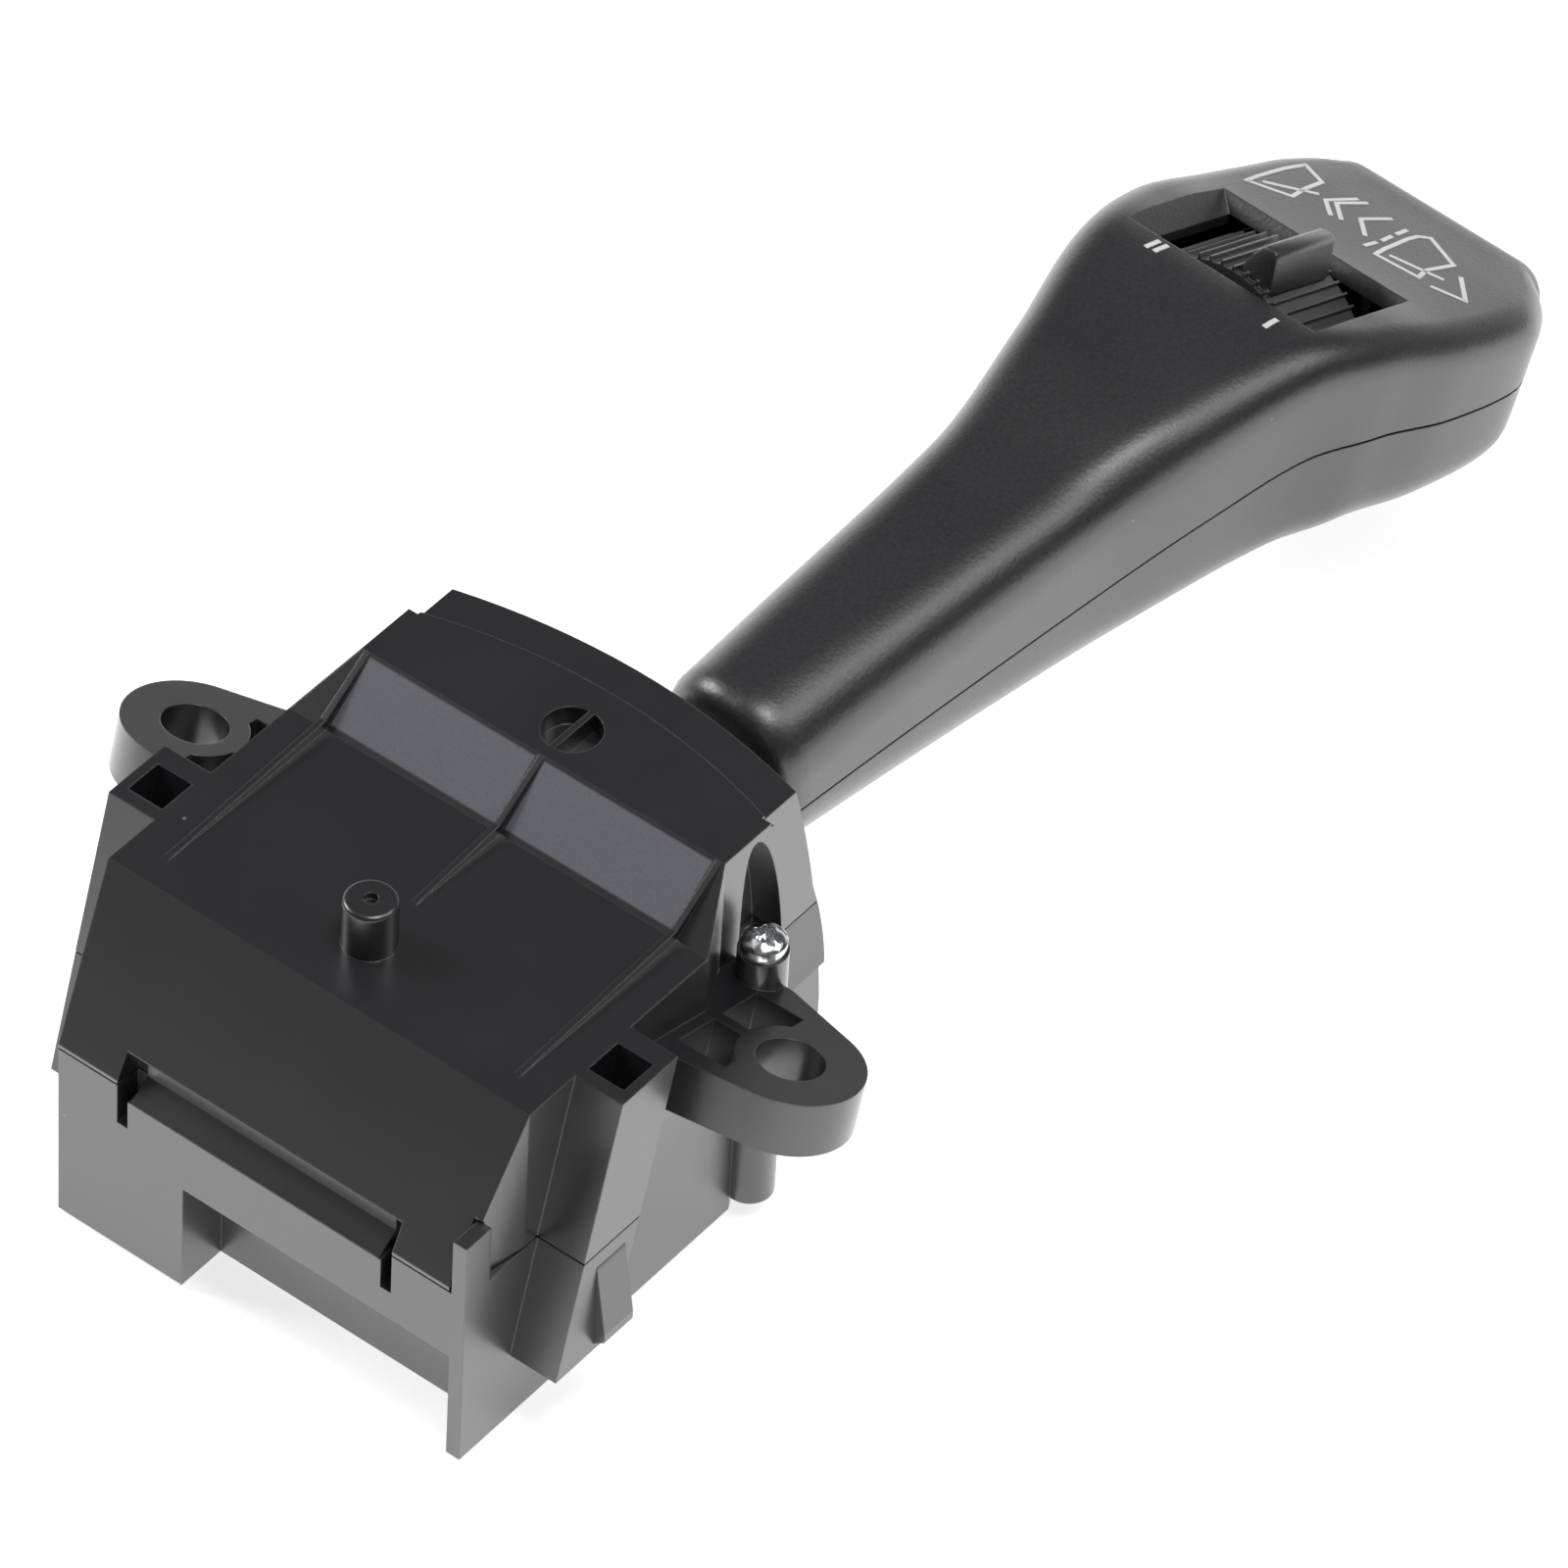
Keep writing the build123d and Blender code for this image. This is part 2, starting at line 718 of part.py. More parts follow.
    # Posts under the circuit board and ledges under the carriage floor
    with BuildSketch(Plane.XY.offset(base_z + wall)):
        with GridLocations(2 * board_post_x, board_post_pitch, 2, 2):
            with Locations((0, (board_front_y + board_back_y) / 2)):
                Circle(wall)
    extrude(amount=board_top_z - board_thickness - base_z - wall)
    with BuildSketch(Plane.XY.offset(base_z + wall)):
        with GridLocations(2 * lower_half_width - 2 * wall, board_post_pitch, 2, 2):
            with Locations((0, (board_front_y + board_back_y) / 2)):
                Rectangle(2 * wall, ledge_length)
    extrude(amount=floor_top_z - floor_thickness - base_z - wall)
    # Screw holes in the towers
    with Locations(*[(x, tower_y, parting_z) for x in both_sides(tower_x)]):
        Cylinder(screw_hole_diameter / 2, 2 * (screw_length - tower_top_z + parting_z), mode=Mode.SUBTRACT)

# Latch wedges on the outer faces of the columns
with BuildPart() as side_latches:
    for side in (-1, 1):
        latch_plane = Plane(
            origin=(side * column_outer_x, column_foot_y, parting_z - wall),
            x_dir=(side, 0, 0),
            z_dir=(0, -side, 0),
        )
        with BuildSketch(latch_plane.offset(-latch_width / 2)):
            Polygon(
                (0, 0),
                (latch_rise, -latch_height),
                (latch_rise, -latch_height - wall / 2),
                (0, -latch_height - wall),
                align=None,
            )
        extrude(amount=latch_width)

# Frame round the lever mouth, with the carriage floor that the pivot stands on
with BuildPart() as mechanism_frame:
    with BuildSketch(Plane.XY.offset(floor_top_z - floor_thickness)):
        with BuildLine():
            add(cavity_outline(lower_half_width - wall - part_gap, part_gap))
        make_face()
    extrude(amount=floor_thickness)
    with BuildSketch(Plane.XY.offset(ring_bottom_z)):
        with BuildLine():
            Polyline(
                (-tier_half_width, barrel_back_y),
                (-tier_half_width, ring_front_y + seam_gap),
                (tier_half_width, ring_front_y + seam_gap),
                (tier_half_width, barrel_back_y),
            )
            ThreePointArc(
                (tier_half_width, barrel_back_y),
                (0, barrel_arc_y),
                (-tier_half_width, barrel_back_y),
            )
        make_face()
    extrude(amount=ring_height)
    add(barrel.part, mode=Mode.INTERSECT)
    add(band_flanks.part, mode=Mode.SUBTRACT)
    with BuildSketch(Plane.XY.offset(floor_top_z)):
        with BuildLine():
            liner_x = back_half_width - part_gap
            outer_arc = ThreePointArc(
                (liner_x, band_back_y - wall - 2 * part_gap),
                (0, band_arc_y - wall - 2 * part_gap),
                (-liner_x, band_back_y - wall - 2 * part_gap),
            )
            inner_arc = ThreePointArc(
                (liner_x, band_back_y - wall - 2 * part_gap - ring_liner),
                (0, band_arc_y - wall - 2 * part_gap - ring_liner),
                (-liner_x, band_back_y - wall - 2 * part_gap - ring_liner),
            )
            Line(outer_arc @ 0, inner_arc @ 0)
            Line(outer_arc @ 1, inner_arc @ 1)
        make_face()
    extrude(amount=mouth_top_z + wall - floor_top_z)
    add(arch_hollows.part, mode=Mode.SUBTRACT)
    add(mouth.part, mode=Mode.SUBTRACT)
    with BuildSketch(Plane.XY.offset(floor_top_z)):
        with Locations((0, pivot_y)):
            Circle(pivot_boss_diameter / 2)
    extrude(amount=pivot_z - carrier_half_height - part_gap - floor_top_z)
    with Locations((0, pivot_y, floor_top_z)):
        Cylinder(pivot_pin_diameter / 2 + pin_clearance, 4 * floor_thickness, mode=Mode.SUBTRACT)
    with BuildSketch(swing_plane.offset(floor_top_z - floor_thickness - pivot_z)):
        with Locations((swing_stroke / 4, -drive_pin_radius)):
            Rectangle(drive_pin_diameter + 2 * swing_stroke, drive_pin_diameter + wall)
    extrude(amount=floor_thickness, mode=Mode.SUBTRACT)

# Circuit board on its posts, with the tracks that the sliding contacts sweep
with BuildPart() as circuit_board:
    with BuildSketch(Plane.XY.offset(board_top_z - board_thickness)):
        with Locations((0, (board_front_y + board_back_y) / 2)):
            RectangleRounded(2 * board_half_width, board_back_y - board_front_y, wall / 2)
    extrude(amount=board_thickness)

with BuildPart() as contact_tracks:
    with BuildSketch(Plane.XY.offset(board_top_z)):
        with Locations((0, pivot_y - drive_pin_radius)):
            with GridLocations(0, slider_length / track_count, 1, track_count):
                SlotOverall(slider_width + 2 * swing_stroke, slider_length / track_count / 2)
    extrude(amount=track_thickness)

# Bent connector pins: up from the board, forwards through the comb and down into the socket
with BuildPart() as connector_pins:
    for row_z, foot_y, tip_y in (
        (back_row_z, room_front_y + 2 * pin_pitch, slope_foot_y + socket_wall + pin_size * 2),
        (front_row_z, room_front_y + pin_pitch, slope_foot_y + socket_wall + pin_size * 2 + pin_pitch),
    ):
        with BuildSketch(Plane.YZ.offset(socket_middle_x)):
            with BuildLine():
                Polyline(
                    (foot_y, board_top_z + pin_size / 2),
                    (foot_y, row_z),
                    (tip_y, row_z),
                    (tip_y, pin_tip_z),
                )
                offset(amount=pin_size / 2, kind=Kind.INTERSECTION)
            make_face()
        extrude(amount=pin_size / 2, both=True)
    pin_pair = connector_pins.part
with BuildPart() as connector_pins:
    with GridLocations(pin_pitch, 1, pin_columns, 1):
        add(pin_pair)

# Inclined bar in the front window, which locks the plug
with BuildPart() as front_bar:
    with BuildSketch(Plane.YZ):
        Polygon(
            (slope_foot_y, window_bottom_z),
            (slope_foot_y, window_bottom_z + wall / 2),
            (slope_y(window_top_z) + window_depth - part_gap - bar_thickness, window_top_z - part_gap),
            (slope_y(window_top_z) + window_depth - part_gap, window_top_z - part_gap),
            (slope_foot_y + bar_thickness, window_bottom_z),
            align=None,
        )
    extrude(amount=window_half_width - window_slot_width - part_gap, both=True)

# Screws in the two towers
with BuildPart() as housing_screws:
    for x in both_sides(tower_x):
        with BuildSketch(Plane.XY.offset(tower_top_z)):
            with Locations((x, tower_y)):
                Circle(screw_head_diameter / 2)
        extrude(amount=screw_head_height)
        with BuildSketch(Plane.XY.offset(tower_top_z)):
            with Locations((x, tower_y)):
                Circle(screw_shank_diameter / 2)
        extrude(amount=-screw_length)
    chamfer(housing_screws.edges().group_by(Axis.Z)[-1], screw_head_height / 4)

# Detent block: an arc about the pivot with a notch for each lever stage
with BuildPart() as detent_block:
    with BuildSketch(swing_plane.offset(-detent_half_height)):
        with Locations((0, -plunger_tip_radius - part_gap - detent_depth / 2)):
            Rectangle(2 * detent_half_width, detent_depth)
        Circle(plunger_tip_radius + part_gap, mode=Mode.SUBTRACT)
        with PolarLocations(
            plunger_tip_radius + part_gap,
            detent_count,
            -90 - detent_step,
            detent_step * (detent_count - 1),
            endpoint=True,
        ):
            Circle(detent_notch, mode=Mode.SUBTRACT)
    extrude(amount=2 * detent_half_height)
    with BuildSketch(Plane.XY.offset(floor_top_z)):
        with Locations((0, pivot_y - plunger_tip_radius - part_gap - detent_depth / 2)):
            Rectangle(2 * detent_half_width - wall, detent_depth - wall / 2)
    extrude(amount=pivot_z - detent_half_height - floor_top_z)

# Pins on which the carrier swings, one in the roof boss and one in the floor boss
with BuildPart() as pivot_pins:
    with Locations((0, pivot_y, pivot_z + carrier_half_height - carrier_roof)):
        Cylinder(
            pivot_pin_diameter / 2,
            carrier_roof + pivot_pin_grip,
            align=(Align.CENTER, Align.CENTER, Align.MIN),
        )
    with Locations((0, pivot_y, pivot_z - carrier_half_height + carrier_roof)):
        Cylinder(
            pivot_pin_diameter / 2,
            pivot_z - carrier_half_height + carrier_roof - floor_top_z + floor_thickness,
            align=(Align.CENTER, Align.CENTER, Align.MAX),
        )

# Carrier that swings with the lever and holds the tilt pin
with BuildPart(swing_plane) as swing_carrier:
    Box(2 * carrier_half_width, 2 * carrier_half_length, 2 * carrier_half_height)
    Box(
        2 * (carrier_half_width - carrier_side),
        4 * carrier_half_length,
        2 * (carrier_half_height - carrier_roof),
        mode=Mode.SUBTRACT,
    )
    upright_edges = swing_carrier.edges().filter_by(Axis.Z).group_by(SortBy.LENGTH)[-1]
    fillet(upright_edges, wall / 2)
    with Locations((0, -carrier_arm_length / 2 - wall, -carrier_half_height + carrier_arm_thickness / 2)):
        Box(carrier_arm_width, carrier_arm_length - 2 * wall, carrier_arm_thickness)
    with Locations((0, -drive_pin_radius, -carrier_half_height)):
        Cylinder(drive_pin_diameter / 2, drive_pin_length, align=(Align.CENTER, Align.CENTER, Align.MAX))
    Cylinder(pivot_pin_diameter / 2 + pin_clearance, 4 * carrier_half_height, mode=Mode.SUBTRACT)
    with Locations(Location((0, 0, 0), (0, 90, 0))):
        Cylinder(tilt_pin_diameter / 2 + pin_clearance, 4 * carrier_half_width, mode=Mode.SUBTRACT)

with BuildPart(swing_plane) as tilt_pin:
    with Locations(Location((0, 0, 0), (0, 90, 0))):
        Cylinder(tilt_pin_diameter / 2, 2 * carrier_half_width)

# Shutter that closes the mouth behind the lever neck, on two arms
with BuildPart() as mouth_shutter:
    with BuildSketch(swing_plane.offset(floor_top_z + part_gap - pivot_z)):
        with BuildLine():
            for radius in (shutter_radius, shutter_radius + shutter_thickness):
                CenterArc((0, 0), radius, 90 - shutter_half_angle, 2 * shutter_half_angle)
            for angle in (90 - shutter_half_angle, 90 + shutter_half_angle):
                Line(
                    Vector(shutter_radius, 0).rotate(Axis.Z, angle),
                    Vector(shutter_radius + shutter_thickness, 0).rotate(Axis.Z, angle),
                )
        make_face()
    extrude(amount=shutter_height)
    with BuildSketch(Plane(origin=pivot, x_dir=lever_x, z_dir=lever_flat * -1)):
        with Locations((0, shutter_slot_lift)):
            RectangleRounded(neck_diameter + 2 * part_gap, shutter_slot_height, wall)
    extrude(amount=-2 * shutter_radius, mode=Mode.SUBTRACT)
    with BuildSketch(swing_plane.offset(-wall)):
        for x in both_sides(carrier_half_width - shutter_thickness / 2):
            with Locations((x, carrier_half_length)):
                Rectangle(
                    shutter_thickness,
                    shutter_radius - carrier_half_length,
                    align=(Align.CENTER, Align.MIN),
                )
    extrude(amount=2 * wall)

# Contact slider under the floor, pushed sideways by the drive pin
slider_plane = swing_plane.offset(floor_top_z - floor_thickness - part_gap - pivot_z)
with BuildPart() as contact_slider:
    with BuildSketch(slider_plane):
        with Locations((0, -drive_pin_radius)):
            RectangleRounded(slider_width, slider_length, wall / 2)
            SlotOverall(
                drive_pin_diameter + 8 * part_gap,
                drive_pin_diameter + 2 * part_gap,
                rotation=90,
                mode=Mode.SUBTRACT,
            )
    extrude(amount=-slider_thickness)

with BuildPart() as sliding_contacts:
    for x in both_sides(slider_width / 3):
        with BuildSketch(Plane(origin=pivot + lever_x * x, x_dir=lever_flat, z_dir=lever_x)):
            with Locations((-drive_pin_radius, slider_plane.origin.Z - pivot_z - slider_thickness)):
                Polygon(
                    (-slider_length / 3, 0),
                    (-slider_length / 4, 0),
                    (0, contact_drop),
                    (slider_length / 4, 0),
                    (slider_length / 3, 0),
                    (0, contact_drop - contact_thickness),
                    align=None,
                )
        extrude(amount=contact_thickness * 2, both=True)

# Core of the lever: pierced block, tail with the plunger bore, neck and spigot
core_plane = Plane(origin=pivot, x_dir=lever_x, z_dir=lever_direction(0))
with BuildPart() as lever_core:
    with BuildSketch(core_plane.offset(-core_back)):
        RectangleRounded(core_width, core_height, wall / 2)
    extrude(amount=2 * core_back)
    with BuildSketch(core_plane.offset(-tail_length)):
        Circle(tail_diameter / 2)
    extrude(amount=tail_length)
    with BuildSketch(core_plane.offset(core_back)):
        Circle(neck_diameter / 2)
    extrude(amount=root_at + shell_wall - core_back)
    with BuildSketch(core_plane.offset(root_at)):
        RectangleRounded(spigot_width, spigot_width, wall / 2)
    extrude(amount=spigot_end - root_at)
    with BuildSketch(core_plane.offset(-tail_length)):
        Circle(plunger_diameter / 2 + pin_clearance)
    extrude(amount=plunger_length + plunger_stroke, mode=Mode.SUBTRACT)
    with BuildSketch(Plane(origin=pivot - lever_x * core_width, x_dir=lever_direction(0), z_dir=lever_x)):
        Circle(tilt_pin_diameter / 2 + pin_clearance)
    extrude(amount=2 * core_width, mode=Mode.SUBTRACT)

with BuildPart() as detent_plunger:
    with BuildSketch(core_plane.offset(-plunger_tip_radius)):
        Circle(plunger_diameter / 2)
    extrude(amount=plunger_length)
    lever_axis = Axis(origin=pivot, direction=lever_direction(0))
    fillet(detent_plunger.edges().filter_by(GeomType.CIRCLE).sort_by(lever_axis)[0], plunger_round)
    with BuildSketch(core_plane.offset(plunger_length - plunger_tip_radius)):
        Circle(plunger_bore / 2)
    extrude(amount=-plunger_bore_depth, mode=Mode.SUBTRACT)

# Coil behind the plunger, seated in the bottom of its bore
coil_start = plunger_length - plunger_tip_radius - plunger_bore_depth + plunger_stroke + spring_wire
coil_end = plunger_length + plunger_stroke - tail_length - spring_wire / 2
with BuildPart() as detent_spring:
    with BuildLine(core_plane.offset(coil_start)):
        coil = Helix(spring_pitch, coil_end - coil_start, spring_radius, direction=lever_direction(0))
    with BuildSketch(Plane(origin=coil @ 0, z_dir=coil % 0)):
        RegularPolygon(spring_wire / 2, 6)
    sweep(path=coil, is_frenet=True)

# Stations of the lever shells from the root to the tip
stations = (
    (root_at, root_lift, root_bend, 0, root_width, root_height, root_corner),
    (waist_at, waist_lift, 0, 0, waist_width, waist_height, waist_corner),
    (throat_at, throat_lift, 0, throat_pitch, throat_width, throat_height, throat_corner),
    (crest_at, crest_lift, crest_bend, crest_pitch, crest_width, crest_height, crest_corner),
    (palm_at, palm_lift, palm_bend, palm_pitch, palm_width, palm_height, palm_corner),
    (brow_at, brow_lift, brow_bend, palm_pitch, brow_width, brow_height, brow_corner),
    (tip_at, tip_lift, tip_bend, palm_pitch, tip_width, tip_height, tip_corner),
)
sections = []
for first, second in zip(stations, stations[1:]):
    steps = max(1, round((second[0] - first[0]) / section_spacing))
    for step in range(steps):
        sections.append([a + (b - a) * step / steps for a, b in zip(first, second)])
sections.append(stations[-1])
palm_plane = lever_plane(palm_at, palm_lift, palm_bend, palm_pitch)
head_way = palm_plane.z_dir
head_up = palm_plane.x_dir.cross(palm_plane.z_dir)
wheel_drop = palm_height / 2 - wheel_depth
board_bottom = shell_wall + board_lift - palm_height / 2
board_top = board_bottom + head_board_thickness
wheel_plane = Plane(origin=palm_plane.origin + head_up * wheel_drop, x_dir=lever_x, z_dir=head_way * -1)


def boss_plane(along, lift, across):
    """Plane across a shell screw, seen from the top of the lever."""
    return Plane(origin=lever_point(along, lift, across), x_dir=lever_x, z_dir=lever_direction(90))


# Full form of the lever, its hollow, and the two halves of space that the parting surface makes
with BuildPart() as lever_form:
    for along, lift, bend, pitch, width, height, corner in sections:
        with BuildSketch(lever_plane(along, lift, bend, pitch)):
            RectangleRounded(width, height, corner)
    loft()
    with BuildSketch(lever_plane(tip_at, tip_lift, tip_bend, palm_pitch)):
        RectangleRounded(tip_width, tip_height, tip_corner)
    extrude(amount=nose_length, taper=nose_taper)
    fillet(lever_form.faces().sort_by(lever_axis)[0].edges(), shoulder_radius)

with BuildPart() as lever_hollow:
    for along, lift, bend, pitch, width, height, corner in sections:
        shift = shell_wall if along == root_at else 0
        with BuildSketch(lever_plane(along + shift, lift, bend, pitch)):
            RectangleRounded(width - 2 * shell_wall, height - 2 * shell_wall, corner - shell_wall)
    loft(ruled=True)
    for at in (spigot_rib_at, spigot_rib_at + spigot_rib_pitch):
        with BuildSketch(core_plane.offset(at)):
            Rectangle(waist_width, waist_height)
        extrude(amount=shell_wall, mode=Mode.SUBTRACT)
    for plane in (boss_plane(grip_boss_at, 0, grip_boss_across), boss_plane(nose_boss_at, brow_lift, 0)):
        with BuildSketch(plane):
            Circle(shell_boss_diameter / 2)
        extrude(amount=crest_height, both=True, mode=Mode.SUBTRACT)
    with BuildSketch(Plane(origin=palm_plane.origin + head_up * board_bottom, x_dir=lever_x, z_dir=head_up)):
        with GridLocations(2 * board_post_half, board_half_length, 2, 2):
            Circle(wall)
    extrude(amount=-palm_height, mode=Mode.SUBTRACT)

with BuildPart() as upper_space:
    with BuildSketch(side_plane()):
        with BuildLine():
            parting = Spline(*[(station[0], station[1] - parting_drop) for station in stations])
            Polyline(
                parting @ 1,
                (tip_at + palm_width, tip_lift),
                (tip_at + palm_width, palm_width),
                (0, palm_width),
                (0, root_lift - parting_drop),
                parting @ 0,
            )
        make_face()
    extrude(amount=palm_width, both=True)

with BuildPart() as core_room:
    with BuildSketch(core_plane):
        Circle(neck_diameter / 2 + pin_clearance)
    extrude(amount=root_at + shell_wall + pin_clearance)
    with BuildSketch(core_plane.offset(root_at)):
        RectangleRounded(spigot_width + 2 * pin_clearance, spigot_width + 2 * pin_clearance, wall / 2)
    extrude(amount=spigot_end - root_at + part_gap)

with BuildPart() as lever_upper_shell:
    add(lever_form.part)
    add(lever_hollow.part, mode=Mode.SUBTRACT)
    add(core_room.part, mode=Mode.SUBTRACT)
    add(upper_space.part, mode=Mode.INTERSECT)
    for plane in (boss_plane(grip_boss_at, 0, grip_boss_across), boss_plane(nose_boss_at, brow_lift, 0)):
        with BuildSketch(plane.offset(-parting_drop - shell_screw_length / 2)):
            Circle(shell_screw_diameter / 2)
        extrude(amount=shell_screw_length, mode=Mode.SUBTRACT)
    with BuildSketch(Plane(origin=palm_plane.origin, x_dir=lever_x, z_dir=head_up)):
        RectangleRounded(wheel_window_length, wheel_window_width, wall / 2)
    extrude(amount=crest_height, mode=Mode.SUBTRACT)

with BuildPart() as lever_lower_shell:
    add(lever_form.part)
    add(lever_hollow.part, mode=Mode.SUBTRACT)
    add(core_room.part, mode=Mode.SUBTRACT)
    add(upper_space.part.moved(Location(lever_direction(90) * -shell_gap)), mode=Mode.SUBTRACT)
    for plane in (boss_plane(grip_boss_at, 0, grip_boss_across), boss_plane(nose_boss_at, brow_lift, 0)):
        with BuildSketch(plane):
            Circle(shell_screw_diameter / 2)
        extrude(amount=-crest_height, mode=Mode.SUBTRACT)
        with BuildSketch(plane.offset(-parting_drop - shell_screw_length / 2)):
            Circle(shell_screw_head / 2 + pin_clearance)
        extrude(amount=-crest_height, mode=Mode.SUBTRACT)

with BuildPart() as shell_screws:
    for plane in (boss_plane(grip_boss_at, 0, grip_boss_across), boss_plane(nose_boss_at, brow_lift, 0)):
        with BuildSketch(plane.offset(-parting_drop - shell_screw_length / 2)):
            Circle(shell_screw_diameter / 2)
        extrude(amount=shell_screw_length)
        with BuildSketch(plane.offset(-parting_drop - shell_screw_length / 2)):
            Circle(shell_screw_head / 2)
        extrude(amount=-shell_wall)

# Thumbwheel: ribbed rim with a finger tab, spokes and hub
rim_start_angle = 90 - wheel_rest_angle - wheel_half_angle
with BuildPart() as thumbwheel:
    with BuildSketch(wheel_plane.offset(-wheel_width / 2)) as rim:
        with BuildLine():
            CenterArc((0, 0), wheel_radius, rim_start_angle, 2 * wheel_half_angle)
            CenterArc((0, 0), wheel_radius - wheel_rim, rim_start_angle, 2 * wheel_half_angle)
            for angle in (rim_start_angle, rim_start_angle + 2 * wheel_half_angle):
                Line(
                    Vector(wheel_radius, 0).rotate(Axis.Z, angle),
                    Vector(wheel_radius - wheel_rim, 0).rotate(Axis.Z, angle),
                )
        make_face()
        with PolarLocations(wheel_radius, wheel_ribs, rim_start_angle, 2 * wheel_half_angle, endpoint=True):
            RegularPolygon(wheel_rib_depth, 4, mode=Mode.SUBTRACT)
    extrude(amount=wheel_width)
    with BuildSketch(wheel_plane.offset(-wheel_width / 2)):
        Circle(wheel_hub_diameter / 2)
    extrude(amount=wheel_width)
    with BuildSketch(wheel_plane.offset(-wheel_web / 2)):
        first_spoke = rim_start_angle + wheel_half_angle / 2
        with PolarLocations(0, wheel_spokes, first_spoke, wheel_half_angle, endpoint=True):
            Rectangle(wheel_radius - wheel_rim / 2, wheel_hub_diameter / 2, align=(Align.MIN, Align.CENTER))
    extrude(amount=wheel_web)
    with BuildSketch(wheel_plane.offset(-tab_length / 2)):
        with PolarLocations(wheel_radius - wheel_rim / 2, 1, 90 - wheel_rest_angle):
            Trapezoid(
                tab_width,
                tab_height + wheel_rim / 2,
                tab_slope,
                align=(Align.CENTER, Align.MIN),
                rotation=-90,
            )
    extrude(amount=tab_length)
    with BuildSketch(wheel_plane.offset(-wheel_width)):
        Circle(axle_diameter / 2 + pin_clearance)
    extrude(amount=2 * wheel_width, mode=Mode.SUBTRACT)

with BuildPart() as wheel_axle:
    with BuildSketch(wheel_plane):
        Circle(axle_diameter / 2)
    extrude(amount=wheel_width / 2 + part_gap + bracket_thickness, both=True)

# Bracket that carries the axle, standing on the head board
with BuildPart() as wheel_bracket:
    for side in both_sides(wheel_width / 2 + part_gap + bracket_thickness / 2):
        with BuildSketch(wheel_plane.offset(side)):
            with Locations((0, board_top - wheel_drop)):
                Rectangle(2 * bracket_half_width, bracket_top - board_top, align=(Align.CENTER, Align.MIN))
            Circle(axle_diameter / 2, mode=Mode.SUBTRACT)
        extrude(amount=bracket_thickness / 2, both=True)
    for side in both_sides(bracket_half_width - bracket_bar / 2):
        with BuildSketch(wheel_plane.offset(-wheel_width / 2 - part_gap)):
            with Locations((side, board_top - wheel_drop)):
                Rectangle(bracket_bar, tab_height, align=(Align.CENTER, Align.MIN))
        extrude(amount=wheel_width + 2 * part_gap)

with BuildPart() as head_board:
    with BuildSketch(Plane(origin=palm_plane.origin + head_up * board_top, x_dir=lever_x, z_dir=head_up)):
        Rectangle(2 * head_board_half_width, 2 * board_half_length)
        Rectangle(board_tail_width, board_tail, align=(Align.CENTER, Align.MAX))
    extrude(amount=-head_board_thickness)

with BuildPart() as wheel_detent_spring:
    with BuildSketch(wheel_plane.offset(-wheel_width / 4)):
        with Locations((-wheel_radius - part_gap - leaf_thickness / 2, board_top - wheel_drop)):
            Rectangle(leaf_thickness, -board_top, align=(Align.CENTER, Align.MIN))
    extrude(amount=wheel_width / 2)

# Wires from the head board back to the core
lead_lift = board_top + lead_diameter / 2
with BuildPart() as wheel_leads:
    for across in (-lead_pitch, 0, lead_pitch):
        above_board = palm_plane.origin + lever_x * across + head_up * lead_lift
        with BuildLine():
            lead = FilletPolyline(
                lever_point(spigot_end, 0, across),
                lever_point(spigot_end + 4 * wall, 0, across),
                above_board - head_way * (board_tail + wall),
                above_board - head_way * (board_half_length + wall / 2),
                radius=2 * wall,
            )
        with BuildSketch(Plane(origin=lead @ 0, z_dir=lead % 0)):
            Circle(lead_diameter / 2)
        sweep(path=lead)

for name, piece in (
    ("upper_housing", upper_housing),
    ("lower_housing", lower_housing),
    ("side_latches", side_latches),
    ("mechanism_frame", mechanism_frame),
    ("circuit_board", circuit_board),
    ("contact_tracks", contact_tracks),
    ("connector_pins", connector_pins),
    ("front_bar", front_bar),
    ("housing_screws", housing_screws),
    ("detent_block", detent_block),
    ("pivot_pins", pivot_pins),
    ("swing_carrier", swing_carrier),
    ("tilt_pin", tilt_pin),
    ("mouth_shutter", mouth_shutter),
    ("contact_slider", contact_slider),
    ("sliding_contacts", sliding_contacts),
    ("lever_core", lever_core),
    ("detent_plunger", detent_plunger),
    ("detent_spring", detent_spring),
    ("lever_upper_shell", lever_upper_shell),
    ("lever_lower_shell", lever_lower_shell),
    ("shell_screws", shell_screws),
    ("thumbwheel", thumbwheel),
    ("wheel_axle", wheel_axle),
    ("wheel_bracket", wheel_bracket),
    ("head_board", head_board),
    ("wheel_detent_spring", wheel_detent_spring),
    ("wheel_leads", wheel_leads),
):
    piece.part.label = name
    print(name, piece.part.is_valid, len(piece.part.solids()), round(piece.part.volume))
    export_step(piece.part, "parts/" + name + ".step")
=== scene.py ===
"""Looks of the combination stalk switch: camera, light, finishes and small pieces around the CAD frame."""

import json
import logging
import math
from dataclasses import dataclass
from enum import Enum
from typing import Iterable, Optional, Sequence

import bmesh
import bpy
from mathutils import Matrix, Vector
from mathutils.bvhtree import BVHTree


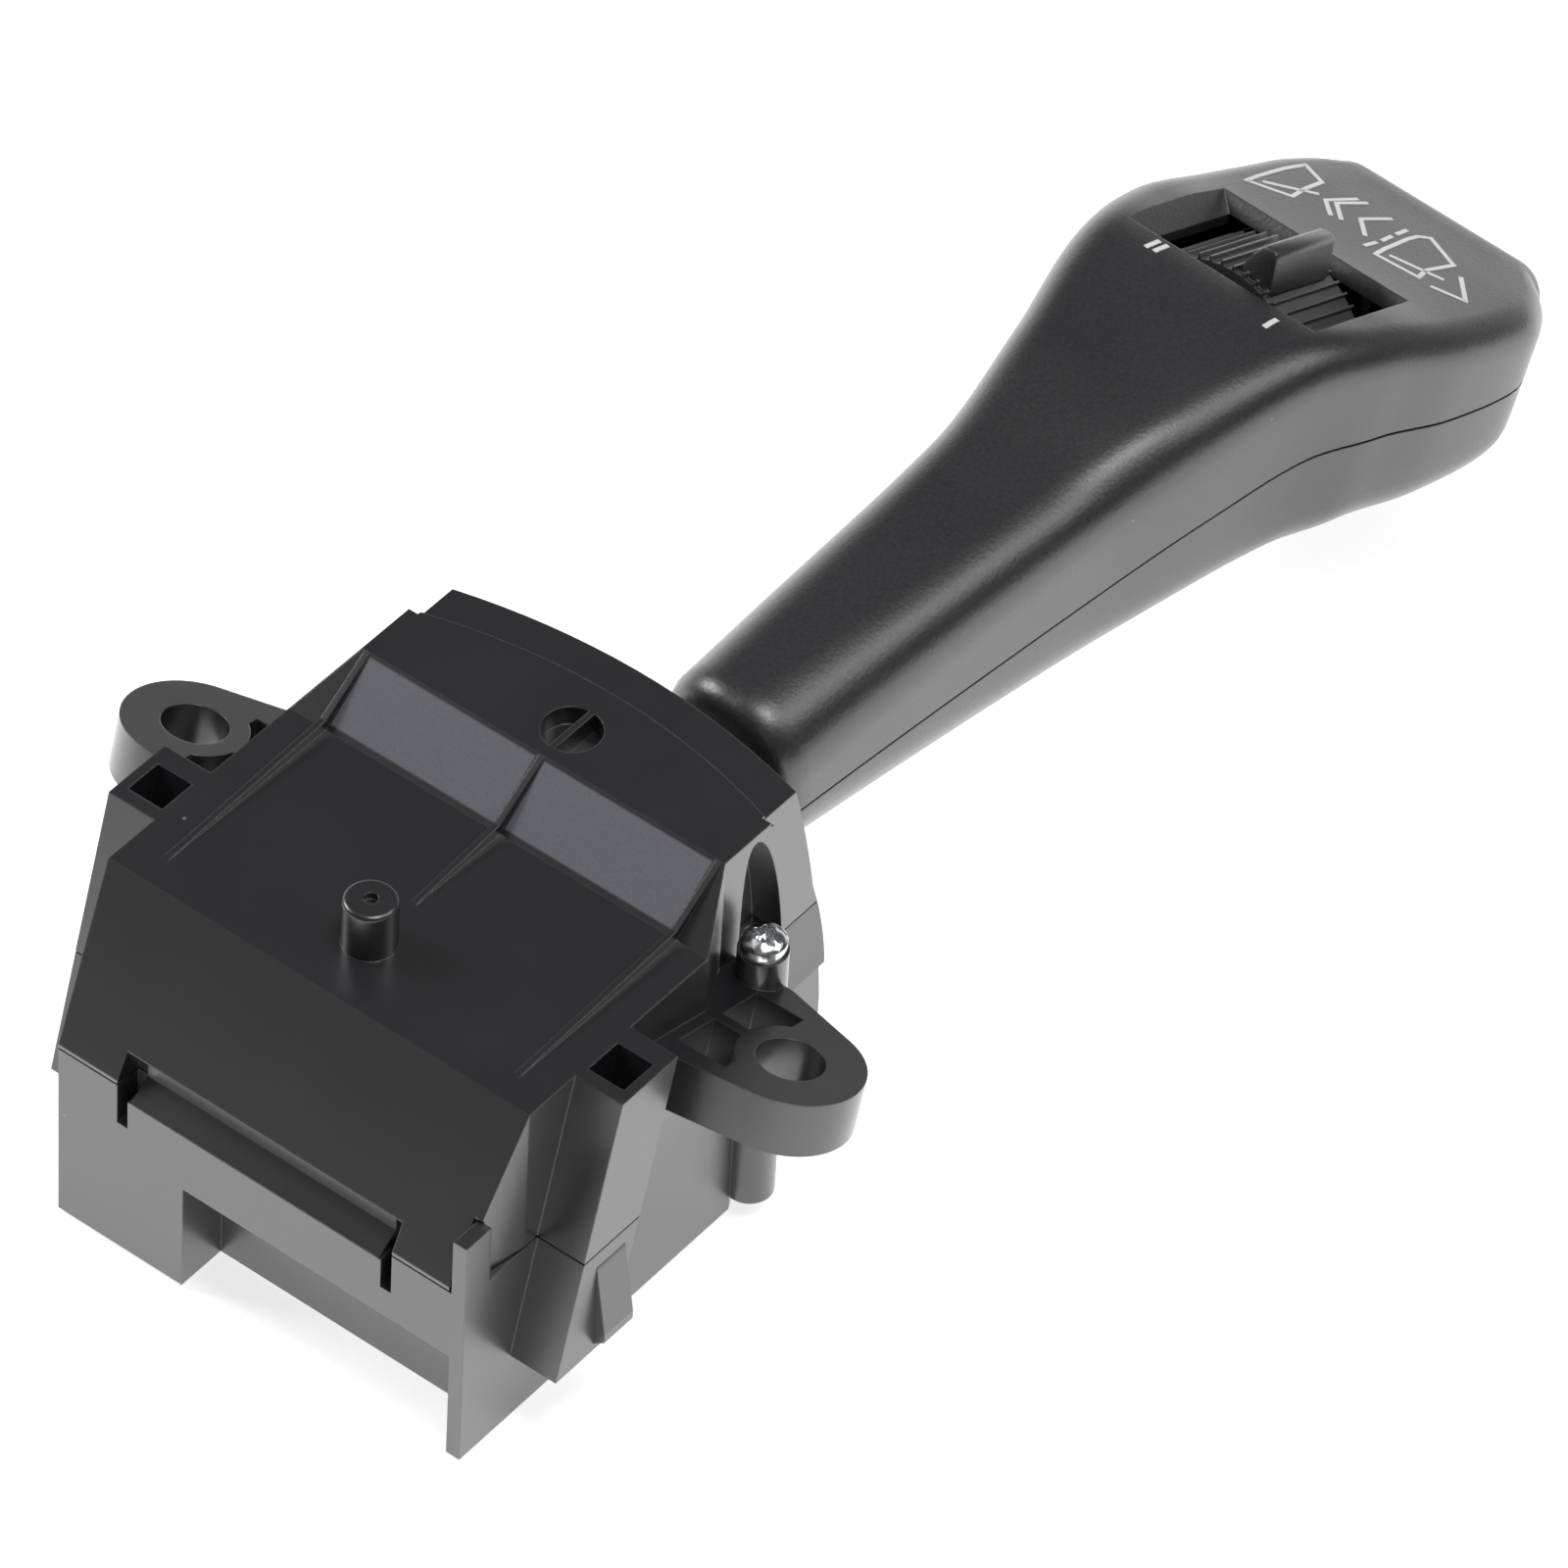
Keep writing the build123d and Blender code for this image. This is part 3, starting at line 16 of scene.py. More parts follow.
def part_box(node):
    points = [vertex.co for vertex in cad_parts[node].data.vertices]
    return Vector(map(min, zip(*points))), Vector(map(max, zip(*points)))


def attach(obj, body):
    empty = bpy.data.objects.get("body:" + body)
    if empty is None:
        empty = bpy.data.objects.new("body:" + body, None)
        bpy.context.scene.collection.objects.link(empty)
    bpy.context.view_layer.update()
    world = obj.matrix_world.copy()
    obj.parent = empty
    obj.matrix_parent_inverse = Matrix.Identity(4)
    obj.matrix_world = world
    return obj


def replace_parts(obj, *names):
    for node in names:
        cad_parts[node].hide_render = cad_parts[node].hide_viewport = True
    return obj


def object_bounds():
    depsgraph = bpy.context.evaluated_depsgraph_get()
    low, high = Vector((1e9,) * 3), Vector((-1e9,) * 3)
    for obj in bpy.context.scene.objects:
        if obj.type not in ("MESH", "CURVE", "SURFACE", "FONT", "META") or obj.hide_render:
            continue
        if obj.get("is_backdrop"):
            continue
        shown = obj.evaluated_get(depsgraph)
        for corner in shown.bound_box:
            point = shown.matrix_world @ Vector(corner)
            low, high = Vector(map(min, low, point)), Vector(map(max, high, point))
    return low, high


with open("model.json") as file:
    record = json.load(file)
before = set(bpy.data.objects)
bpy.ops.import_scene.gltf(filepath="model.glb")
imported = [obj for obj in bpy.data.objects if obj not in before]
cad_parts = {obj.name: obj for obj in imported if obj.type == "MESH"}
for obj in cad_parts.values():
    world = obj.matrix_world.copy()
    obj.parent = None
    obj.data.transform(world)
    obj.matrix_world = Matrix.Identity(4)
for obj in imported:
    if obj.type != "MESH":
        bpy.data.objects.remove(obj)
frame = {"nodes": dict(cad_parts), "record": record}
logging.basicConfig(level=logging.INFO, format="%(levelname)s %(message)s")
LOG = logging.getLogger("stalk_switch")
MM = 0.001

Colour = tuple[float, float, float]
Pair = tuple[float, float]
Triple = tuple[float, float, float]
Quad = tuple[float, float, float, float]
Material = bpy.types.Material
Mesh = bmesh.types.BMesh
Node = bpy.types.Node
Row = list[bmesh.types.BMVert]
Socket = bpy.types.NodeSocket


def polar(radius: float, angle: float) -> Pair:
    """Return the point of a circle at an angle in radians."""
    return radius * math.cos(angle), radius * math.sin(angle)


def circle(radius: float, count: int) -> list[Pair]:
    """Return evenly spaced points of a circle."""
    return [polar(radius, math.tau * index / count) for index in range(count)]


def skin(mesh: Mesh, rows: Sequence[Row]) -> None:
    """Join neighbouring closed rows of vertices with four-sided faces."""
    for first, second in zip(rows, rows[1:]):
        for index in range(len(first)):
            after = (index + 1) % len(first)
            mesh.faces.new((first[index], first[after], second[after], second[index]))


def close(mesh: Mesh, rows: Sequence[Row]) -> None:
    """Skin rows of vertices and cap both ends."""
    skin(mesh, rows)
    mesh.faces.new(list(reversed(rows[0])))
    mesh.faces.new(rows[-1])


def add_object(name: str, data: bpy.types.ID) -> bpy.types.Object:
    """Make an object of its data and link it to the scene."""
    thing = bpy.data.objects.new(name, data)
    bpy.context.scene.collection.objects.link(thing)
    return thing


def add_mesh(name: str, mesh: Mesh) -> bpy.types.Object:
    """Turn a built mesh into an object of the scene."""
    data = bpy.data.meshes.new(name)
    mesh.to_mesh(data)
    mesh.free()
    return add_object(name, data)


class Slot(Enum):
    """Material slots of the record."""

    HOUSING = "housing_plastic"
    TUB = "tub_plastic"
    FRAME = "frame_plastic"
    LEVER = "lever_plastic"
    WHEEL = "wheel_plastic"
    CORE = "core_plastic"
    NATURAL = "natural_plastic"
    BOARD = "board"
    COPPER = "copper"
    CONTACT = "contact_metal"
    TINNED = "tinned_metal"
    STEEL = "steel"
    ZINC = "zinc"
    LEAD = "lead_rubber"


class Kind(Enum):
    """Kinds of socket that the shader groups take and give."""

    VALUE = "NodeSocketFloat"
    VECTOR = "NodeSocketVector"


@dataclass(frozen=True)
class CameraFit:
    """The camera solved from the photo, in degrees, metres and pixels."""

    azimuth: float = 35.69
    elevation: float = 45.11
    roll: float = 3.60
    distance: float = 1.07112
    pixels_per_metre: float = 11060.0
    shift_x: float = -422.70
    shift_y: float = -159.87
    sensor: float = 36.0
    image_width: float = 1600.0
    near: float = 0.05
    far: float = 20.0

    def back(self) -> Vector:
        """Return the direction from the object to the camera."""
        turn, rise = math.radians(self.azimuth), math.radians(self.elevation)
        return Vector((math.sin(turn) * math.cos(rise), -math.cos(turn) * math.cos(rise), math.sin(rise)))

    def matrix(self) -> Matrix:
        """Return the camera's place and turn in the row frame."""
        turn, roll = math.radians(self.azimuth), math.radians(self.roll)
        right = Vector((math.cos(turn), math.sin(turn), 0))
        up = self.back().cross(right)
        rolled_right = right * math.cos(roll) + up * math.sin(roll)
        rolled_up = up * math.cos(roll) - right * math.sin(roll)
        place = (
            self.back() * self.distance
            - rolled_right * (self.shift_x / self.pixels_per_metre)
            - rolled_up * (self.shift_y / self.pixels_per_metre)
        )
        turned = Matrix((rolled_right, rolled_up, self.back())).transposed().to_4x4()
        return Matrix.Translation(place) @ turned

    def lens(self) -> float:
        """Return the focal length in millimetres."""
        return self.pixels_per_metre * self.distance / self.image_width * self.sensor

    def build(self) -> None:
        """Put the camera into the scene."""
        data = bpy.data.cameras.new("camera")
        data.lens = self.lens()
        data.sensor_width = self.sensor
        data.clip_start = self.near
        data.clip_end = self.far
        camera = add_object("camera", data)
        camera.matrix_world = self.matrix()
        bpy.context.scene.camera = camera


@dataclass(frozen=True)
class LeverPlaces:
    """Places on the lever that the small pieces are set by, in millimetres and degrees."""

    pivot: Triple = (0.0, 12.0, -17.2)
    yaw: float = 3.16
    pitch: float = 1.23
    palm_at: float = 116.5
    palm_lift: float = 1.85
    palm_bend: float = -1.0
    palm_pitch: float = -22.9
    palm_height: float = 21.3
    wheel_radius: float = 12.5
    wheel_depth: float = 12.3

    def across(self) -> Vector:
        """Return the direction across the lever, towards the right."""
        yaw = math.radians(self.yaw)
        return Vector((math.cos(yaw), -math.sin(yaw), 0))

    def along(self, pitch: float = 0.0) -> Vector:
        """Return the direction along the lever, raised by an angle in degrees."""
        yaw, rise = math.radians(self.yaw), math.radians(self.pitch + pitch)
        flat = Vector((math.sin(yaw), math.cos(yaw), 0))
        return flat * math.cos(rise) + Vector((0, 0, 1)) * math.sin(rise)

    def head_way(self) -> Vector:
        """Return the direction along the palm."""
        return self.along(self.palm_pitch)

    def head_up(self) -> Vector:
        """Return the direction square to the palm, outwards."""
        return self.across().cross(self.head_way())

    def point(self, along: float, lift: float = 0.0, across: float = 0.0) -> Vector:
        """Return a point of the lever in metres.

        Args:
            along: distance from the pivot.
            lift: height over the lever's axis.
            across: offset to the right.

        Returns:
            The point in the row frame.
        """
        place = Vector(self.pivot) + self.along() * along + self.along(90) * lift + self.across() * across
        return place * MM

    def palm(self, across: float, way: float, up: float = 0.0) -> Vector:
        """Return a point given in the palm's own plane, in metres.

        Args:
            across: offset to the right of the palm's middle.
            way: offset towards the tip.
            up: height over the lever's middle there.

        Returns:
            The point in the row frame.
        """
        middle = self.point(self.palm_at, self.palm_lift, self.palm_bend)
        return middle + (self.across() * across + self.head_way() * way + self.head_up() * up) * MM


class Tree:
    """Short way to lay out a shader tree."""

    def __init__(self, tree: bpy.types.NodeTree) -> None:
        """Keep the tree that the nodes are added to."""
        self.tree = tree

    def feed(self, node: Node, name: object, value: object) -> None:
        """Link a socket to an input, or set the input's value."""
        if isinstance(value, Socket):
            self.tree.links.new(value, node.inputs[name])
        else:
            node.inputs[name].default_value = value

    def add(self, kind: str, inputs: Optional[dict] = None, **settings: object) -> Node:
        """Add a node.

        Args:
            kind: type of the node.
            inputs: number or socket for each input, by name or place.
            settings: properties of the node.

        Returns:
            The new node.
        """
        node = self.tree.nodes.new(kind)
        for name, value in settings.items():
            setattr(node, name, value)
        for name, value in (inputs or {}).items():
            self.feed(node, name, value)
        return node

    def maths(self, operation: str, *values: object, clamp: bool = False) -> Socket:
        """Add a Math node and return its result."""
        node = self.add("ShaderNodeMath", dict(enumerate(values)), operation=operation, use_clamp=clamp)
        return node.outputs[0]

    def vectors(self, operation: str, *values: object) -> Node:
        """Add a Vector Math node and return it."""
        return self.add("ShaderNodeVectorMath", dict(enumerate(values)), operation=operation)

    def span(
        self, value: object, low: float, high: float, out_low: float = 0.0, out_high: float = 1.0
    ) -> Socket:
        """Add a smooth Map Range node.

        Args:
            value: number or socket to map.
            low: input that gives out_low.
            high: input that gives out_high.
            out_low: result at the low end.
            out_high: result at the high end.

        Returns:
            The result's socket.
        """
        inputs = {"Value": value, "From Min": low, "From Max": high, "To Min": out_low, "To Max": out_high}
        return self.add("ShaderNodeMapRange", inputs, interpolation_type="SMOOTHSTEP").outputs[0]

    def blend(self, factor: object, first: object, second: object) -> Socket:
        """Add a Mix node for two colours or colour sockets and return its result."""
        first, second = ((*item, 1.0) if isinstance(item, tuple) else item for item in (first, second))
        return self.add("ShaderNodeMix", {"Factor": factor, 6: first, 7: second}, data_type="RGBA").outputs[2]

    def mix(self, factor: object, first: object, second: object) -> Socket:
        """Add a Mix node for two plain values and return its result."""
        return self.add("ShaderNodeMix", {0: factor, 2: first, 3: second}, data_type="FLOAT").outputs[0]

    def noise(self, vector: object, scale: object, detail: float = 2.0) -> Socket:
        """Add a Noise texture and return its value."""
        inputs = {"Vector": vector, "Scale": scale, "Detail": detail}
        return self.add("ShaderNodeTexNoise", inputs).outputs["Fac"]

    def place(self) -> Socket:
        """Return the object's own coordinates."""
        return self.add("ShaderNodeTexCoord").outputs["Object"]


class Effects:
    """Shader groups that the finishes share."""

    cell_share = 0.6
    fine_share = 0.5
    fine_detail = 3.0
    drift_scale = 0.02
    edge_samples = 4
    edge_starts = 0.995
    edge_full = 0.8
    speck_chance = 0.93

    def __init__(self) -> None:
        """Build every group once."""
        self.grain = self.build_grain()
        self.edges = self.build_edges()
        self.specks = self.build_specks()
        self.region = self.build_region()

    @staticmethod
    def start(
        name: str, inputs: Iterable[tuple[str, Kind, object]], outputs: Iterable[tuple[str, Kind]]
    ) -> tuple[Tree, dict[str, Socket]]:
        """Open a new group with its sockets.

        Args:
            name: name of the group.
            inputs: name, kind and default of each input.
            outputs: name and kind of each output.

        Returns:
            The tree and the input sockets by name.
        """
        group = bpy.data.node_groups.new(name, "ShaderNodeTree")
        for label, kind, default in inputs:
            socket = group.interface.new_socket(label, in_out="INPUT", socket_type=kind.value)
            socket.default_value = default
        for label, kind in outputs:
            group.interface.new_socket(label, in_out="OUTPUT", socket_type=kind.value)
        tree = Tree(group)
        return tree, {socket.name: socket for socket in tree.add("NodeGroupInput").outputs}

    def build_grain(self) -> bpy.types.NodeTree:
        """Build the moulded grain: a cell-like height, a fine tone and a slow drift of tone."""
        tree, given = self.start(
            "moulded_grain",
            (("Scale", Kind.VALUE, 4000.0), ("Stretch", Kind.VECTOR, (1.0, 1.0, 1.0))),
            (("Height", Kind.VALUE), ("Tone", Kind.VALUE), ("Drift", Kind.VALUE)),
        )
        place = tree.vectors("MULTIPLY", tree.place(), given["Stretch"]).outputs[0]
        inputs = {"Vector": place, "Scale": given["Scale"]}
        cells = tree.add("ShaderNodeTexVoronoi", inputs, feature="SMOOTH_F1")
        fine = tree.noise(place, given["Scale"], self.fine_detail)
        coarse = tree.maths("MULTIPLY", cells.outputs["Distance"], self.cell_share)
        height = tree.maths("ADD", coarse, tree.maths("MULTIPLY", fine, self.fine_share))
        drift = tree.noise(place, tree.maths("MULTIPLY", given["Scale"], self.drift_scale))
        tree.add("NodeGroupOutput", {"Height": height, "Tone": fine, "Drift": drift})
        return tree.tree

    def build_edges(self) -> bpy.types.NodeTree:
        """Build the rounded edge: a normal that turns over each edge and a mask of where it does, which the
        finishes use to paint edge highlight and edge wear.
        """
        tree, given = self.start(
            "rounded_edge",
            (("Radius", Kind.VALUE, 0.0002), ("Gain", Kind.VALUE, 1.0)),
            (("Normal", Kind.VECTOR), ("Mask", Kind.VALUE)),
        )
        bevel = tree.add("ShaderNodeBevel", {"Radius": given["Radius"]}, samples=self.edge_samples).outputs[0]
        flat = tree.add("ShaderNodeNewGeometry").outputs["Normal"]
        turned = tree.vectors("DOT_PRODUCT", bevel, flat).outputs["Value"]
        mask = tree.span(turned, self.edge_starts, self.edge_full)
        mask = tree.maths("MULTIPLY", mask, given["Gain"], clamp=True)
        tree.add("NodeGroupOutput", {"Normal": bevel, "Mask": mask})
        return tree.tree

    def build_specks(self) -> bpy.types.NodeTree:
        """Build sparse pale specks of dust and moulding flecks."""
        tree, given = self.start(
            "dust_specks",
            (("Scale", Kind.VALUE, 260.0), ("Size", Kind.VALUE, 0.05)),
            (("Mask", Kind.VALUE),),
        )
        inputs = {"Vector": tree.place(), "Scale": given["Scale"]}
        cells = tree.add("ShaderNodeTexVoronoi", inputs, feature="F1")
        chance = tree.add("ShaderNodeSeparateColor", {0: cells.outputs["Color"]}).outputs[0]
        rare = tree.maths("GREATER_THAN", chance, self.speck_chance)
        spot = tree.maths("LESS_THAN", cells.outputs["Distance"], given["Size"])
        tree.add("NodeGroupOutput", {"Mask": tree.maths("MULTIPLY", rare, spot)})
        return tree.tree

    def build_region(self) -> bpy.types.NodeTree:
        """Build the mask of a box in the object's own coordinates."""
        tree, given = self.start(
            "box_region",
            (
                ("Middle", Kind.VECTOR, (0, 0, 0)),
                ("Half", Kind.VECTOR, (1, 1, 1)),
                ("Soft", Kind.VALUE, 0.0002),
            ),
            (("Mask", Kind.VALUE),),
        )
        offset = tree.vectors("SUBTRACT", tree.place(), given["Middle"]).outputs[0]
        offset = tree.vectors("ABSOLUTE", offset).outputs[0]
        inside = tree.vectors("SUBTRACT", given["Half"], offset).outputs[0]
        parts = tree.add("ShaderNodeSeparateXYZ", {0: inside}).outputs
        least = tree.maths("MINIMUM", tree.maths("MINIMUM", parts[0], parts[1]), parts[2])
        tree.add("NodeGroupOutput", {"Mask": tree.maths("DIVIDE", least, given["Soft"], clamp=True)})
        return tree.tree


@dataclass(frozen=True)
class Patch:
    """A box of the surface with its own tone and roughness, in millimetres."""

    low: Triple
    high: Triple
    colour: Colour
    roughness: float
    soft: float = 0.15


@dataclass(frozen=True)
class Finish:
    """How one kind of surface looks. Lengths are in metres and grain in cells per metre."""

    name: str
    dark: Colour
    light: Colour
    roughness: float
    spread: float = 0.06
    metallic: float = 0.0
    specular: float = 0.5
    coat: float = 0.0
    coat_roughness: float = 0.3
    grain: float = 4500.0
    depth: float = 0.00002
    stretch: Triple = (1.0, 1.0, 1.0)
    edge_radius: float = 0.00022
    # Lighter colour and strength laid on every edge: painted edge highlight together with edge wear.
    edge_wear_and_highlight_colour: Colour = (0.09, 0.09, 0.10)
    edge_wear_and_highlight_gain: float = 0.5
    speck_gain: float = 0.5
    speck_colour: Colour = (0.35, 0.35, 0.36)
    patches: tuple[Patch, ...] = ()
    tone_shares: Pair = (0.6, 0.4)
    colour_span: Pair = (0.35, 0.65)
    rough_span: Pair = (0.3, 0.7)
    cover_span: Quad = (0.2, 0.6, 0.7, 1.0)

    def build(self, effects: Effects) -> Material:
        """Build the material.

        Args:
            effects: the shared shader groups.

        Returns:
            The finished material.
        """
        material = bpy.data.materials.new(self.name)
        material.use_nodes = True
        tree = Tree(material.node_tree)
        group = "ShaderNodeGroup"
        inputs = {"Scale": self.grain, "Stretch": self.stretch}
        grain = tree.add(group, inputs, node_tree=effects.grain).outputs
        inputs = {"Radius": self.edge_radius, "Gain": self.edge_wear_and_highlight_gain}
        edge = tree.add(group, inputs, node_tree=effects.edges).outputs
        speck = tree.add(group, node_tree=effects.specks).outputs["Mask"]
        shares = zip(("Tone", "Drift"), self.tone_shares)
        tone = tree.maths("ADD", *[tree.maths("MULTIPLY", grain[name], share) for name, share in shares])
        colour = tree.blend(tree.span(tone, *self.colour_span), self.dark, self.light)
        rough = tree.span(tone, *self.rough_span, self.roughness - self.spread, self.roughness + self.spread)
        for patch in self.patches:
            low, high = Vector(patch.low) * MM, Vector(patch.high) * MM
            box = {"Middle": (low + high) / 2, "Half": (high - low) / 2, "Soft": patch.soft * MM}
            mask = tree.add(group, box, node_tree=effects.region).outputs["Mask"]
            cover = tree.maths("MULTIPLY", mask, tree.span(grain["Tone"], *self.cover_span))
            colour = tree.blend(cover, colour, patch.colour)
            rough = tree.mix(mask, rough, patch.roughness)
        # Painted edge highlight and edge wear: every edge is turned towards a lighter colour.
        colour = tree.blend(edge["Mask"], colour, self.edge_wear_and_highlight_colour)
        colour = tree.blend(tree.maths("MULTIPLY", speck, self.speck_gain), colour, self.speck_colour)
        inputs = {"Distance": self.depth, "Height": grain["Height"], "Normal": edge["Normal"]}
        bump = tree.add("ShaderNodeBump", {"Strength": 1.0, **inputs})
        for name, value in (
            ("Base Color", colour),
            ("Roughness", rough),
            ("Normal", bump.outputs[0]),
            ("Metallic", self.metallic),
            ("Specular IOR Level", self.specular),
            ("Coat Weight", self.coat),
            ("Coat Roughness", self.coat_roughness),
        ):
            tree.feed(material.node_tree.nodes["Principled BSDF"], name, value)
        return material


PANEL_COLOUR = (0.122, 0.127, 0.152)
PANEL_PATCHES = tuple(
    Patch((low, 18.3, 0.35), (high, 24.9, 5.1), PANEL_COLOUR, 0.62)
    for low, high in ((-20.6, -0.5), (0.5, 20.6))
)
FINISHES: dict[Slot, Finish] = {
    Slot.HOUSING: Finish(
        "satin_housing", (0.0125, 0.0128, 0.0155), (0.0165, 0.0168, 0.020), 0.30, spread=0.015,
        specular=1.0, coat=0.6, coat_roughness=0.28, depth=0.000005, patches=PANEL_PATCHES,
    ),
    Slot.TUB: Finish(
        "tub", (0.018, 0.018, 0.0195), (0.024, 0.024, 0.0255), 0.36, spread=0.02, specular=1.0, coat=0.6,
        coat_roughness=0.32, depth=0.000006,
    ),
    Slot.FRAME: Finish(
        "frame", (0.015, 0.015, 0.018), (0.020, 0.020, 0.023), 0.38, specular=0.9, coat=0.3, depth=0.000010,
    ),
    Slot.LEVER: Finish(
        "grained_grip", (0.015, 0.0155, 0.018), (0.021, 0.0215, 0.0245), 0.38, spread=0.04, specular=1.0,
        coat=0.4, coat_roughness=0.34, grain=2600.0, depth=0.00003, edge_wear_and_highlight_gain=0.35,
    ),
    Slot.WHEEL: Finish(
        "wheel", (0.020, 0.020, 0.022), (0.028, 0.028, 0.030), 0.40, specular=0.9, coat=0.3, grain=3600.0,
        depth=0.000014, edge_wear_and_highlight_colour=(0.13, 0.13, 0.14), edge_wear_and_highlight_gain=0.8,
    ),
    Slot.CORE: Finish("core", (0.020, 0.020, 0.021), (0.030, 0.030, 0.031), 0.45),
    Slot.NATURAL: Finish(
        "natural", (0.62, 0.60, 0.55), (0.70, 0.68, 0.63), 0.42, edge_wear_and_highlight_gain=0.1, speck_gain=0.0,
    ),
    Slot.BOARD: Finish(
        "board", (0.015, 0.10, 0.045), (0.02, 0.13, 0.06), 0.35, coat=0.5, edge_wear_and_highlight_colour=(0.30, 0.28, 0.16),
        edge_wear_and_highlight_gain=0.9,
    ),
    Slot.COPPER: Finish("copper", (0.70, 0.36, 0.20), (0.80, 0.44, 0.26), 0.30, metallic=1.0, speck_gain=0.0),
    Slot.CONTACT: Finish(
        "contact", (0.62, 0.55, 0.36), (0.72, 0.65, 0.45), 0.28, metallic=1.0, speck_gain=0.0,
    ),
    Slot.TINNED: Finish(
        "tinned", (0.58, 0.58, 0.57), (0.72, 0.72, 0.71), 0.30, metallic=1.0, stretch=(1.0, 0.1, 1.0),
        speck_gain=0.0,
    ),
    Slot.STEEL: Finish("steel", (0.48, 0.48, 0.49), (0.62, 0.62, 0.63), 0.27, metallic=1.0, speck_gain=0.0),
    Slot.ZINC: Finish(
        "zinc", (0.62, 0.64, 0.68), (0.86, 0.88, 0.90), 0.20, metallic=1.0, grain=1800.0, depth=0.00003,
        edge_wear_and_highlight_colour=(0.9, 0.9, 0.92), edge_radius=0.0001, speck_gain=0.0,
    ),
    Slot.LEAD: Finish("lead_sheath", (0.05, 0.012, 0.010), (0.07, 0.018, 0.014), 0.5, edge_wear_and_highlight_gain=0.0),
}
INK = Finish(
    "white_ink", (0.80, 0.80, 0.80), (0.90, 0.90, 0.90), 0.5, grain=6000.0, depth=0.000004, edge_wear_and_highlight_gain=0.0,
    speck_gain=0.0,
)


@dataclass(frozen=True)
class Lamp:
    """One soft square lamp that faces the object, in metres and watts."""

    name: str
    way: Triple
    face: float
    power: float
    distance: float = 1.3

    def hang(self, centre: Vector) -> None:
        """Hang the lamp in its direction from a centre."""
        data = bpy.data.lights.new(self.name, "AREA")
        data.shape = "RECTANGLE"
        data.size = data.size_y = self.face
        data.energy = self.power
        aim = Vector(self.way).normalized()
        turn = aim.to_track_quat("Z", "Y").to_matrix().to_4x4()
        add_object(self.name, data).matrix_world = Matrix.Translation(centre + aim * self.distance) @ turn


